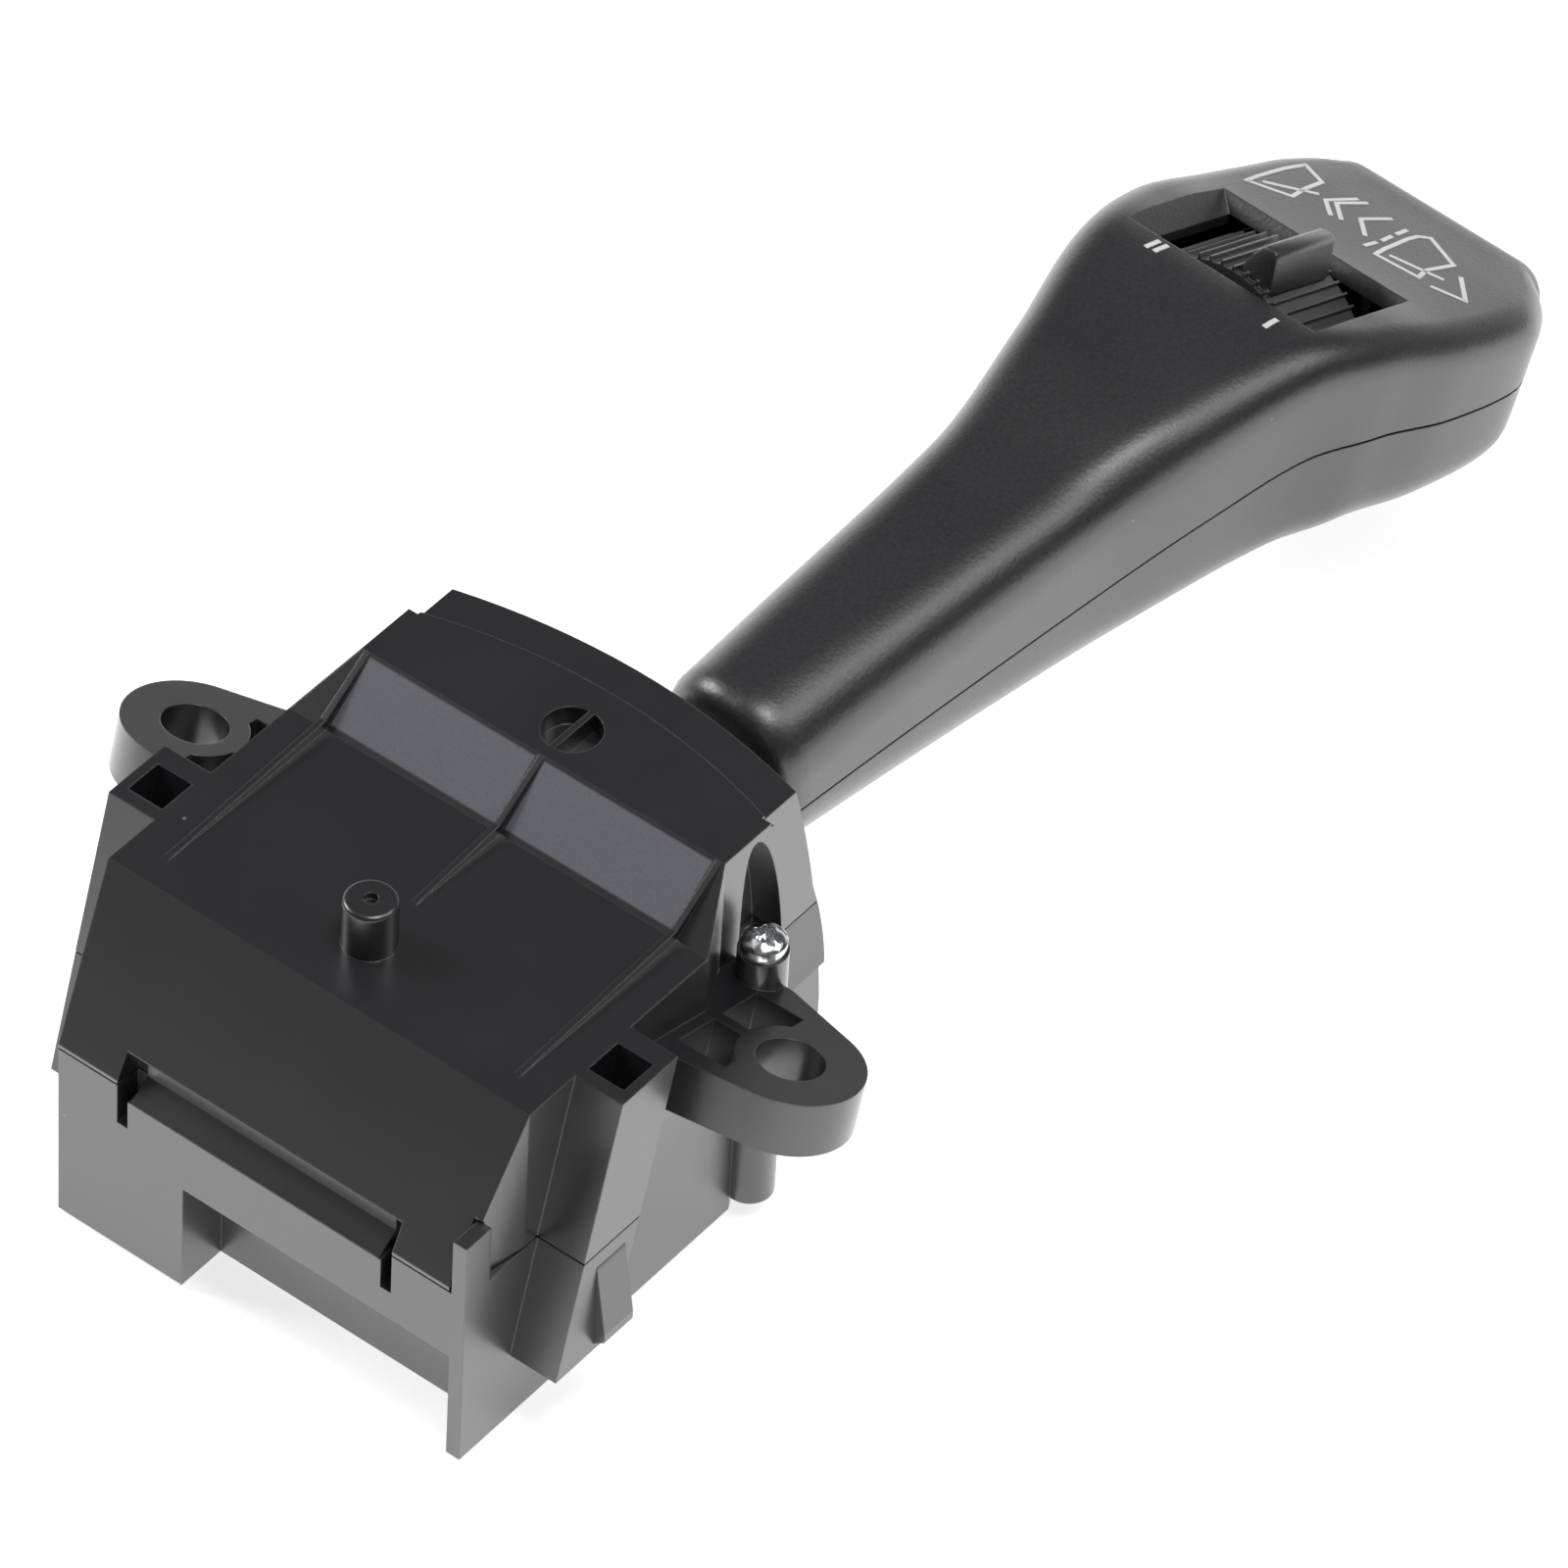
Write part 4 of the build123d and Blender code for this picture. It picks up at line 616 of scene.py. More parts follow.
@dataclass(frozen=True)
class Studio:
    """Floor, world and lamps. Lengths are in metres, strengths in plain radiance."""

    centre_y: float = 0.06
    floor_radius: float = 0.9
    floor_gap: float = 0.0004
    floor_sides: int = 96
    floor_colour: Colour = (0.86, 0.86, 0.87)
    near_glow: float = 0.75
    far_glow: float = 1.0
    glow_from: float = 0.05
    glow_to: float = 0.35
    dark_way: Triple = (-0.25, -0.97, 0.0)
    dark_glow: float = 0.03
    dark_from: float = 0.105
    dark_to: float = 0.165
    backdrop: float = 0.92
    backdrop_turn: Pair = (0.35, 0.85)
    backdrop_rise: Pair = (0.45, 0.12)
    low_sky: float = 0.016
    high_sky: float = 0.136
    lamps: tuple[Lamp, ...] = (
        Lamp("key_lamp", (-0.85, -0.25, 0.6), 0.5, 7.0),
        Lamp("top_lamp", (0.25, -0.05, 1.0), 0.5, 7.0),
        Lamp("side_lamp", (0.55, 0.4, 0.75), 0.6, 3.2),
    )

    def floor(self) -> None:
        """Lay the pale floor under the lowest point."""
        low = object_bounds()[0]
        mesh = bmesh.new()
        bmesh.ops.create_circle(mesh, cap_ends=True, segments=self.floor_sides, radius=self.floor_radius)
        floor = add_mesh("floor", mesh)
        floor.location = (0, self.centre_y, low[2] - self.floor_gap)
        floor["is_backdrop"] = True
        floor.data.materials.append(self.floor_material())

    def floor_material(self) -> Material:
        """Build the floor's finish: matt, with a glow that the camera and mirrors see."""
        material = bpy.data.materials.new("pale_floor")
        material.use_nodes = True
        tree = Tree(material.node_tree)
        tree.tree.nodes.clear()
        path = tree.add("ShaderNodeLightPath").outputs
        seen = tree.maths("MAXIMUM", path["Is Glossy Ray"], path["Is Transmission Ray"])
        seen = tree.maths("MAXIMUM", path["Is Camera Ray"], seen)
        place = tree.place()
        away = tree.vectors("LENGTH", place).outputs["Value"]
        straight = tree.span(away, self.glow_from, self.glow_to, self.near_glow, self.far_glow)
        ahead = tree.vectors("DOT_PRODUCT", place, self.dark_way).outputs["Value"]
        mirrored = tree.span(ahead, self.dark_from, self.dark_to, self.far_glow, self.dark_glow)
        strength = tree.maths("MULTIPLY", seen, tree.mix(path["Is Camera Ray"], mirrored, straight))
        matt = tree.add("ShaderNodeBsdfDiffuse", {"Color": (*self.floor_colour, 1)})
        glow = tree.add("ShaderNodeEmission", {"Strength": strength})
        both = tree.add("ShaderNodeAddShader", {0: matt.outputs[0], 1: glow.outputs[0]})
        tree.add("ShaderNodeOutputMaterial", {"Surface": both.outputs[0]})
        return material

    def world(self, forward: Vector) -> None:
        """Set a dim room with a white backdrop behind the object.

        Args:
            forward: level direction from the camera past the object.
        """
        world = bpy.data.worlds.new("studio")
        bpy.context.scene.world = world
        world.use_nodes = True
        tree = Tree(world.node_tree)
        tree.tree.nodes.clear()
        way = tree.add("ShaderNodeTexCoord").outputs["Generated"]
        rise = tree.add("ShaderNodeSeparateXYZ", {0: way}).outputs[2]
        ahead = tree.vectors("DOT_PRODUCT", way, tuple(forward)).outputs["Value"]
        behind = tree.span(ahead, *self.backdrop_turn)
        behind = tree.maths("MULTIPLY", behind, tree.span(rise, *self.backdrop_rise))
        sky = tree.span(rise, 0.0, 1.0, self.low_sky, self.high_sky)
        room = tree.maths("ADD", tree.maths("MULTIPLY", behind, self.backdrop), sky)
        seen = tree.add("ShaderNodeLightPath").outputs["Is Camera Ray"]
        light = {"Color": (1, 1, 1, 1), "Strength": tree.mix(seen, room, 1.0)}
        tree.add("ShaderNodeOutputWorld", {"Surface": tree.add("ShaderNodeBackground", light).outputs[0]})

    def build(self, fit: CameraFit) -> None:
        """Build floor, world and lamps."""
        back = fit.back()
        self.floor()
        self.world(Vector((-back.x, -back.y, 0)).normalized())
        for lamp in self.lamps:
            lamp.hang(Vector((0, self.centre_y, 0)))


class Piece:
    """Helpers to turn meshes into pieces."""

    smooth_under = 35.0

    @classmethod
    def place(
        cls, name: str, mesh: Mesh, body: str, slot: Slot, material: Material, smooth: bool = True
    ) -> bpy.types.Object:
        """Make an object of a mesh and let it ride on a body.

        Args:
            name: name of the piece.
            mesh: its faces, in metres in the row frame.
            body: body that carries it.
            slot: record slot of its finish; not used.
            material: its material.
            smooth: whether edges under the class's angle shade smoothly.

        Returns:
            The new object.
        """
        bmesh.ops.recalc_face_normals(mesh, faces=mesh.faces)
        piece = add_mesh(name, mesh)
        data = piece.data
        data.materials.append(material)
        if smooth:
            data.shade_smooth()
            data.set_sharp_from_angle(angle=math.radians(cls.smooth_under))
        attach(piece, body)
        LOG.info("%s: %d faces on %s", name, len(data.polygons), body)
        return piece


@dataclass(frozen=True)
class Screw:
    """One self-tapping screw with a six-lobed recess and a cut thread, in millimetres and shares."""

    head_radius: float
    head_height: float
    shank_radius: float
    length: float
    recess_radius: float
    recess_depth: float
    pitch: float = 0.9
    lobes: int = 6
    lobe_share: float = 0.14
    floor_share: float = 0.35
    wall_share: float = 0.86
    lip_share: float = 1.08
    lip_depth: float = 0.08
    dome_shares: tuple[float, ...] = (0.62, 0.82, 0.93, 1.0)
    dome_fall: float = 0.36
    rim_share: float = 0.12
    foot_share: float = 0.97
    core_share: float = 0.8
    ridge_half: float = 0.22
    tip_radii: float = 2.2
    tip_share: float = 0.12
    sides: int = 60
    rings_per_turn: int = 12

    def recess(self, angle: float) -> float:
        """Return the recess's radius at an angle."""
        return self.recess_radius * (1 - self.lobe_share + self.lobe_share * math.cos(self.lobes * angle))

    def thread(self, depth: float, turn: float) -> float:
        """Return the shank's radius at a depth and a share of the turn."""
        core = self.shank_radius * self.core_share
        phase = (depth / self.pitch - turn) % 1.0
        ridge = max(0.0, 1 - abs(phase - 0.5) / self.ridge_half)
        taper = min(1.0, (self.length - depth) / (self.tip_radii * self.shank_radius) + self.tip_share)
        return (core + (self.shank_radius - core) * ridge) * taper

    def add_to(self, mesh: Mesh, foot: Vector, axis: Vector) -> None:
        """Add the screw to a mesh.

        Args:
            mesh: mesh to add to.
            foot: middle of the head's lower face, in metres.
            axis: direction out of the head.
        """
        turn = axis.to_track_quat("Z", "Y").to_matrix()
        angles = [math.tau * step / self.sides for step in range(self.sides)]
        rings: list[Row] = []

        def ring(height: float, reaches: Iterable[float]) -> None:
            """Add a ring of vertices at a height, with its radius at every angle."""
            spots = [Vector((*polar(reach, angle), height)) for reach, angle in zip(reaches, angles)]
            rings.append([mesh.verts.new(foot + turn @ spot * MM) for spot in spots])

        top = self.head_height
        for height, share in (
            (top - self.recess_depth, self.floor_share),
            (top - self.recess_depth, self.wall_share),
            (top - self.lip_depth, 1.0),
            (top, self.lip_share),
        ):
            ring(height, [self.recess(angle) * share for angle in angles])
        for share in self.dome_shares:
            ring(top * (1 - self.dome_fall * share ** 4), [self.head_radius * share] * self.sides)
        for height, radius in (
            (top * self.rim_share, self.head_radius),
            (0.0, self.head_radius * self.foot_share),
            (0.0, self.shank_radius),
        ):
            ring(height, [radius] * self.sides)
        rows = int(self.length / self.pitch * self.rings_per_turn)
        for index in range(rows + 1):
            depth = self.length * index / rows
            ring(-depth, [self.thread(depth, step / self.sides) for step in range(self.sides)])
        close(mesh, rings)


@dataclass(frozen=True)
class Screws:
    """All screws of the switch, set on the places of their CAD nodes, and the towers' sleeves."""

    tower_x: float = 25.0
    tower_y: float = 27.4
    tower_top_z: float = -5.6
    tower_screw: Screw = Screw(2.28, 1.88, 1.04, 13.9, 1.15, 1.0)
    shell_screw: Screw = Screw(1.88, 1.75, 0.99, 8.95, 0.95, 0.8, pitch=0.8)
    grip_boss: Triple = (88.0, 0.0, 6.2)
    nose_boss: Triple = (137.0, -4.5, 0.0)
    seat_drop: float = 5.7
    sleeve_radius: float = 2.47
    sleeve_bore: float = 1.1
    sleeve_length: float = 12.0
    sleeve_drop: float = 0.02
    sleeve_sides: int = 48

    def sleeves(self, material: Material) -> None:
        """Build the round sleeves that close the towers around their screws."""
        mesh = bmesh.new()
        inner, outer, length = self.sleeve_bore, self.sleeve_radius, self.sleeve_length
        for side in (-1, 1):
            rings = []
            for radius, drop in ((inner, 0), (outer, 0), (outer, length), (inner, length)):
                x, y, z = side * self.tower_x, self.tower_y, self.tower_top_z - self.sleeve_drop - drop
                spots = [Vector((x + a, y + b, z)) for a, b in circle(radius, self.sleeve_sides)]
                rings.append([mesh.verts.new(spot * MM) for spot in spots])
            skin(mesh, rings + rings[:1])
        Piece.place("tower_sleeves", mesh, "housing", Slot.HOUSING, material)

    def build(self, places: LeverPlaces, material: Material) -> None:
        """Build the tower screws and the shell screws."""
        mesh = bmesh.new()
        for side in (-1, 1):
            foot = Vector((side * self.tower_x, self.tower_y, self.tower_top_z)) * MM
            self.tower_screw.add_to(mesh, foot, Vector((0, 0, 1)))
        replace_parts(Piece.place("tower_screws", mesh, "housing", Slot.ZINC, material), "housing_screws")
        mesh = bmesh.new()
        for along, lift, across in (self.grip_boss, self.nose_boss):
            seat = places.point(along, lift - self.seat_drop, across)
            self.shell_screw.add_to(mesh, seat, -places.along(90))
        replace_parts(Piece.place("grip_screws", mesh, "lever", Slot.ZINC, material), "shell_screws")


@dataclass(frozen=True)
class Stroke:
    """One painted line on the palm, in millimetres across and along it."""

    points: tuple[Pair, ...]
    width: float = 0.55
    closed: bool = False


@dataclass(frozen=True)
class Station:
    """One cross-section of the lever's skin, in millimetres and degrees."""

    at: float
    lift: float
    bend: float
    pitch: float
    width: float
    height: float
    top_corner: float
    low_corner: float
    seam: float

    def values(self) -> tuple[float, ...]:
        """Return the numbers that change along the lever."""
        shape = (self.lift, self.bend, self.pitch, self.width, self.height)
        return (*shape, self.top_corner, self.low_corner, self.seam)


def monotone(places: Sequence[float], values: Sequence[float], at: float) -> float:
    """Read a smooth curve through points that never overshoots them.

    Args:
        places: rising positions of the points.
        values: value at each point.
        at: position to read.

    Returns:
        The value there.
    """
    at = min(max(at, places[0]), places[-1])
    index = max(i for i in range(len(places) - 1) if places[i] <= at)
    slopes = [(b - a) / (q - p) for a, b, p, q in zip(values, values[1:], places, places[1:])]

    def tangent(i: int) -> float:
        """Return the curve's slope at a point."""
        if i in (0, len(slopes)):
            return slopes[min(i, len(slopes) - 1)]
        before, after = slopes[i - 1], slopes[i]
        return 0.0 if before * after <= 0 else 2 * before * after / (before + after)

    span = places[index + 1] - places[index]
    t = (at - places[index]) / span
    return (
        (1 + 2 * t) * (1 - t) ** 2 * values[index]
        + t * (1 - t) ** 2 * span * tangent(index)
        + t ** 2 * (3 - 2 * t) * values[index + 1]
        + t ** 2 * (t - 1) * span * tangent(index + 1)
    )


@dataclass(frozen=True)
class LeverSkin:
    """The lever's two thin shells, lofted smoothly through its stations and cut at window and seam."""

    places: LeverPlaces
    stations: tuple[Station, ...] = (
        Station(38.5, 1.5, -0.1, 0, 16.4, 18.8, 7.2, 7.8, -1.2),
        Station(52.0, 1.3, -0.2, 0, 17.3, 20.3, 6.6, 7.4, -1.2),
        Station(80.0, 0.7, -0.35, 0, 20.0, 23.1, 5.6, 6.6, -1.0),
        Station(97.0, 2.15, -0.5, 6.0, 25.6, 24.9, 5.2, 5.6, -0.4),
        Station(108.0, 3.1, -1.2, -11.0, 31.9, 24.3, 4.6, 5.0, 0.2),
        Station(116.5, 1.4, -1.0, -22.9, 36.0, 22.2, 4.0, 4.6, 0.45),
        Station(126.0, -1.85, 0.1, -22.9, 37.2, 20.1, 3.8, 4.4, 0.5),
        Station(136.0, -5.0, 0.8, -22.9, 36.4, 17.9, 3.6, 4.2, 0.6),
        Station(141.5, -6.4, 0.3, -22.9, 33.0, 16.1, 3.8, 4.0, 0.6),
        Station(144.6, -7.1, -0.3, -22.9, 28.2, 15.0, 3.9, 4.0, 0.6),
    )
    wall: float = 1.8
    seam_gap: float = 0.28
    seam_steps: int = 60
    spacing: float = 1.5
    corner_points: int = 9
    side_points: int = 6
    least_corner: float = 0.4
    tip_round: float = 2.4
    root_round: float = 2.4
    round_steps: int = 6
    rod_sides: int = 40
    hole_radius: float = 5.3
    hole_before: float = 3.0
    hole_length: float = 10.0
    boss_radius: float = 2.7
    boss_reach: float = 30.0
    bosses: tuple[Pair, ...] = ((88.0, 6.2), (137.0, 0.0))
    screw_drop: float = 5.7
    head_radius: float = 2.05
    head_reach: float = 20.0
    block_half: float = 26.0
    block_top: float = 42.0
    root_past: float = 8.0
    tip_past: float = 9.0
    tip_fall: float = 18.0
    window_top: Quad = (-11.9, 11.75, -7.8, 8.5)
    window_low: Quad = (-10.0, 11.3, -7.2, 7.7)
    window_over: float = 6.0
    window_skim: float = 0.05
    window_depth: float = 2.0
    window_under: float = 8.0
    window_lip: float = 0.35
    ramp_left: float = -18.0
    ramp_edge: float = -10.0
    ramp_deep: float = 3.2
    ramp_over: float = 4.0
    ramp_half: float = 9.6

    def at(self, along: float) -> Station:
        """Return the cross-section at a distance along the lever."""
        marks = [station.at for station in self.stations]
        columns = zip(*(station.values() for station in self.stations))
        return Station(along, *(monotone(marks, column, along) for column in columns))

    def ring(self, mesh: Mesh, along: float, inset: float, forward: float = 0.0) -> Row:
        """Add one cross-section as a closed row of vertices.

        Args:
            mesh: mesh to add to.
            along: distance along the lever.
            inset: distance that the outline is drawn inwards.
            forward: extra distance square to the section.

        Returns:
            The row of vertices.
        """
        station = self.at(along)
        half_width, half_height = station.width / 2 - inset, station.height / 2 - inset
        centre = self.places.point(along, station.lift, station.bend)
        way = self.places.along(station.pitch)
        across = self.places.across()
        up = across.cross(way)
        corners: list[Pair] = []
        for quarter, (side, level) in enumerate(((1, 1), (-1, 1), (-1, -1), (1, -1))):
            corner = station.top_corner if level > 0 else station.low_corner
            radius = max(self.least_corner, corner - inset)
            for step in range(self.corner_points):
                a, u = polar(radius, math.pi / 2 * (quarter + step / (self.corner_points - 1)))
                corners.append((side * (half_width - radius) + a, level * (half_height - radius) + u))
        outline: list[Pair] = []
        for index, (a, u) in enumerate(corners):
            outline.append((a, u))
            if (index + 1) % self.corner_points == 0:
                b, v = corners[(index + 1) % len(corners)]
                shares = [step / self.side_points for step in range(1, self.side_points)]
                outline += [(a + (b - a) * share, u + (v - u) * share) for share in shares]
        return [mesh.verts.new(centre + (across * a + up * u + way * forward) * MM) for a, u in outline]

    def solid(self, inset: float, start: float, end: float, root_round: float, tip_round: float) -> Mesh:
        """Build a closed loft of the lever.

        Args:
            inset: distance that all sections are drawn inwards.
            start: distance of the first section.
            end: distance of the last section.
            root_round: radius of the rounding at the root, or 0.
            tip_round: radius of the rounding at the tip, or 0.

        Returns:
            The closed mesh.
        """
        mesh = bmesh.new()
        rows = []
        turns = [math.pi / 2 * step / self.round_steps for step in range(self.round_steps)]
        if root_round:
            for angle in turns:
                shrink, forward = root_round * (1 - math.sin(angle)), root_round * (1 - math.cos(angle))
                rows.append(self.ring(mesh, start, inset + shrink, forward))
            start += root_round
        count = round((end - start) / self.spacing)
        for step in range(count + 1):
            rows.append(self.ring(mesh, start + (end - start) * step / count, inset))
        if tip_round:
            for angle in turns[1:] + [math.pi / 2]:
                shrink, forward = tip_round * (1 - math.cos(angle)), tip_round * math.sin(angle)
                rows.append(self.ring(mesh, end, inset + shrink, forward))
        close(mesh, rows)
        return mesh

    @staticmethod
    def prism(outline: Sequence[Vector], reach: Vector) -> Mesh:
        """Build a closed prism from the corners of its first end and the vector to its second."""
        mesh = bmesh.new()
        close(mesh, [[mesh.verts.new(corner + shift) for corner in outline] for shift in (Vector(), reach)])
        return mesh

    def rod(self, centre: Vector, reach: Vector, radius: float) -> Mesh:
        """Build a round rod from a centre along a vector."""
        turn = reach.to_track_quat("Z", "Y").to_matrix()
        spots = [Vector((a, b, 0)) for a, b in circle(1.0, self.rod_sides)]
        return self.prism([centre + turn @ spot * radius * MM for spot in spots], reach)

    def above(self, drop: float) -> Mesh:
        """Build the block of space over the seam, lowered by a distance."""
        first, last = self.stations[0].at, self.stations[-1].at
        marks = [first + (last - first) * step / self.seam_steps for step in range(self.seam_steps + 1)]
        seam = [(at, self.at(at).lift + self.at(at).seam - drop) for at in marks]
        root, tip, top = first - self.root_past, last + self.tip_past, self.block_top
        fall = self.tip_past * math.tan(math.radians(self.tip_fall))
        line = [(root, seam[0][1]), *seam, (tip, seam[-1][1] - fall), (tip, top), (root, top)]
        side = self.places.across() * self.block_half * MM
        return self.prism([self.places.point(at, lift) - side for at, lift in line], side * 2)

    def window(self) -> Mesh:
        """Build the cutter of the wheel's window, wider at its lip than below."""
        mesh = bmesh.new()
        rows = []
        for up, sides, flare in (
            (self.window_over, self.window_top, 2),
            (self.window_skim, self.window_top, 1),
            (-self.window_lip, self.window_top, 0),
            (-self.window_depth, self.window_low, 0),
            (-self.window_under, self.window_low, 0),
        ):
            left, right, near, far = (side + math.copysign(self.window_lip * flare, side) for side in sides)
            height = self.places.palm_height / 2 + up
            corners = ((left, near), (right, near), (right, far), (left, far))
            rows.append([mesh.verts.new(self.places.palm(across, way, height)) for across, way in corners])
        close(mesh, rows)
        return mesh

    def ramp(self) -> Mesh:
        """Build the block that stays solid under the window's left end."""
        top = self.places.palm_height / 2
        left, right, low, high = self.ramp_left, self.ramp_edge, top - self.ramp_deep, top + self.ramp_over
        corners = ((left, low), (right, low), (right, high), (left, high))
        outline = [self.places.palm(across, -self.ramp_half, up) for across, up in corners]
        return self.prism(outline, self.places.head_way() * (2 * self.ramp_half) * MM)

    @staticmethod
    def thing(mesh: Mesh) -> bpy.types.Object:
        """Wrap a mesh in an object for carving."""
        bmesh.ops.recalc_face_normals(mesh, faces=mesh.faces)
        return add_mesh("carving", mesh)

    @staticmethod
    def take(thing: bpy.types.Object) -> Mesh:
        """Take the mesh out of an object and drop the object."""
        mesh = bmesh.new()
        mesh.from_mesh(thing.data)
        bpy.data.objects.remove(thing)
        return mesh

    def carve(self, base: bpy.types.Object, tool: Mesh, operation: str = "DIFFERENCE") -> None:
        """Cut an object with a tool mesh and drop the tool.

        Args:
            base: object that is cut.
            tool: closed mesh.
            operation: DIFFERENCE, INTERSECT or UNION.
        """
        cutter = self.thing(tool)
        change = base.modifiers.new("carve", "BOOLEAN")
        change.operation, change.object, change.solver = operation, cutter, "EXACT"
        result = bpy.data.meshes.new_from_object(base.evaluated_get(bpy.context.evaluated_depsgraph_get()))
        base.modifiers.clear()
        base.data = result
        bpy.data.objects.remove(cutter)

    def build(self, material: Material) -> bpy.types.Object:
        """Build both shells.

        Args:
            material: their material.

        Returns:
            The upper shell.
        """
        point = self.places.point
        first, last = self.stations[0].at, self.stations[-1].at
        high = self.places.along(90) * MM
        shell = self.thing(self.solid(0, first, last, self.root_round, self.tip_round))
        hollow = self.thing(self.solid(self.wall, first + self.wall, last, 0, 0))
        for at, across in self.bosses:
            foot = point(at, -self.boss_reach, across)
            self.carve(hollow, self.rod(foot, high * (2 * self.boss_reach), self.boss_radius))
        self.carve(hollow, self.ramp())
        self.carve(shell, self.take(hollow))
        hole = self.places.along() * self.hole_length * MM
        self.carve(shell, self.rod(point(first - self.hole_before), hole, self.hole_radius))
        lower = add_object("carving", shell.data.copy())
        self.carve(shell, self.above(0), "INTERSECT")
        self.carve(shell, self.window())
        self.carve(lower, self.above(self.seam_gap))
        for at, across in self.bosses:
            seat = point(at, -self.screw_drop, across)
            self.carve(lower, self.rod(seat, -high * self.head_reach, self.head_radius))
        pieces = []
        for name, part, node in (
            ("grip_upper_shell", shell, "lever_upper_shell"),
            ("grip_lower_shell", lower, "lever_lower_shell"),
        ):
            piece = Piece.place(name, self.take(part), "lever", Slot.LEVER, material)
            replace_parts(piece, node)
            pieces.append(piece)
        return pieces[0]


@dataclass(frozen=True)
class Wheel:
    """The ribbed thumbwheel with its finger tab, in millimetres and degrees."""

    places: LeverPlaces
    rim: float = 2.4
    groove: float = 0.5
    ridge_share: float = 0.34
    half_angle: float = 68.0
    rest_angle: float = 71.5
    half_width: float = 5.8
    ribs: int = 21
    rim_steps: int = 40
    hub_radius: float = 1.9
    hub_sides: int = 32
    web: float = 1.6
    web_foot: float = 0.6
    web_sink: float = 0.4
    round_share: float = 0.3
    tab_half: float = 5.2
    tab_round: float = 0.5
    tab: tuple[Pair, ...] = (
        (4.35, 11.4), (3.8, 15.1), (3.62, 15.6), (3.25, 15.85), (2.3, 15.9),
        (1.8, 15.72), (0.85, 14.4), (0.35, 13.3), (0.15, 12.4), (0.6, 11.0),
    )

    def spot(self, across: float, up: float, way: float) -> Vector:
        """Return a point given from the wheel's centre."""
        centre_up = self.places.palm_height / 2 - self.places.wheel_depth
        return self.places.palm(across, way, centre_up + up)

    def bar(self, mesh: Mesh, outline: Sequence[Pair], half: float, rounding: float = 0.0) -> None:
        """Add a bar with the outline, laid along the axle.

        Args:
            mesh: mesh to add to.
            outline: corners across and up.
            half: half of its length.
            rounding: radius of its end edges.
        """
        middle = Vector((sum(a for a, u in outline), sum(u for a, u in outline))) / len(outline)
        levels = [(-half, 0.0)]
        if rounding:
            part = self.round_share * rounding
            levels = [(-half, rounding), (-half + part, part), (-half + rounding, 0.0)]
        rows = []
        for way, inset in levels + [(-way, inset) for way, inset in reversed(levels)]:
            row = []
            for corner in map(Vector, outline):
                spot = corner + (middle - corner).normalized() * inset
                row.append(mesh.verts.new(self.spot(spot.x, spot.y, way)))
            rows.append(row)
        close(mesh, rows)

    def build(self, material: Material) -> None:
        """Build the wheel as one piece."""
        mesh = bmesh.new()
        radius = self.places.wheel_radius
        low, inner = radius - self.groove, radius - self.rim
        foot, top = self.ridge_share / 2, self.ridge_share / 4
        rib = ((0.0, low), (0.5 - foot, low), (0.5 - top, radius), (0.5 + top, radius), (0.5 + foot, low))
        start = math.radians(self.rest_angle - self.half_angle)
        pitch = math.radians(2 * self.half_angle) / self.ribs
        outline = []
        for index in range(self.ribs):
            outline += [polar(reach, start + pitch * (index + share)) for share, reach in rib]
        for step in range(self.rim_steps + 1):
            outline.append(polar(inner, start + pitch * self.ribs * (1 - step / self.rim_steps)))
        self.bar(mesh, outline, self.half_width)
        self.bar(mesh, circle(self.hub_radius, self.hub_sides), self.half_width)
        for turn in (-self.half_angle / 2, 0.0, self.half_angle / 2):
            way = Vector(polar(1.0, math.radians(self.rest_angle + turn)))
            side = Vector((-way.y, way.x)) * self.hub_radius / 2
            foot, end = way * self.hub_radius * self.web_foot, way * (inner + self.web_sink)
            corners = (foot - side, end - side, end + side, foot + side)
            self.bar(mesh, [tuple(corner) for corner in corners], self.web / 2)
        self.bar(mesh, self.tab, self.tab_half, self.tab_round)
        piece = Piece.place("ribbed_wheel", mesh, "wheel", Slot.WHEEL, material)
        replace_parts(piece, "thumbwheel")


@dataclass(frozen=True)
class WindowBar:
    """The bar in the front window: an upright lip over a sloping face, in millimetres."""

    lip_height: float = 2.7
    lip_inset: float = 0.25
    slope_rise: float = 0.5058
    thickness: float = 1.2

    def build(self, material: Material) -> None:
        """Build the bar within the box of its CAD node."""
        low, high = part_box("front_bar")
        lip_y = low.y + (high.z - low.z) * self.slope_rise + self.lip_inset * MM
        lip_z = high.z - self.lip_height * MM
        deep = self.thickness * MM
        face = [(lip_y, high.z), (lip_y, lip_z), (low.y, low.z)]
        outline = face + [(y + deep, z) for y, z in reversed(face)]
        mesh = bmesh.new()
        close(mesh, [[mesh.verts.new((x, y, z)) for y, z in outline] for x in (low.x, high.x)])
        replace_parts(Piece.place("window_bar", mesh, "housing", Slot.FRAME, material), "front_bar")


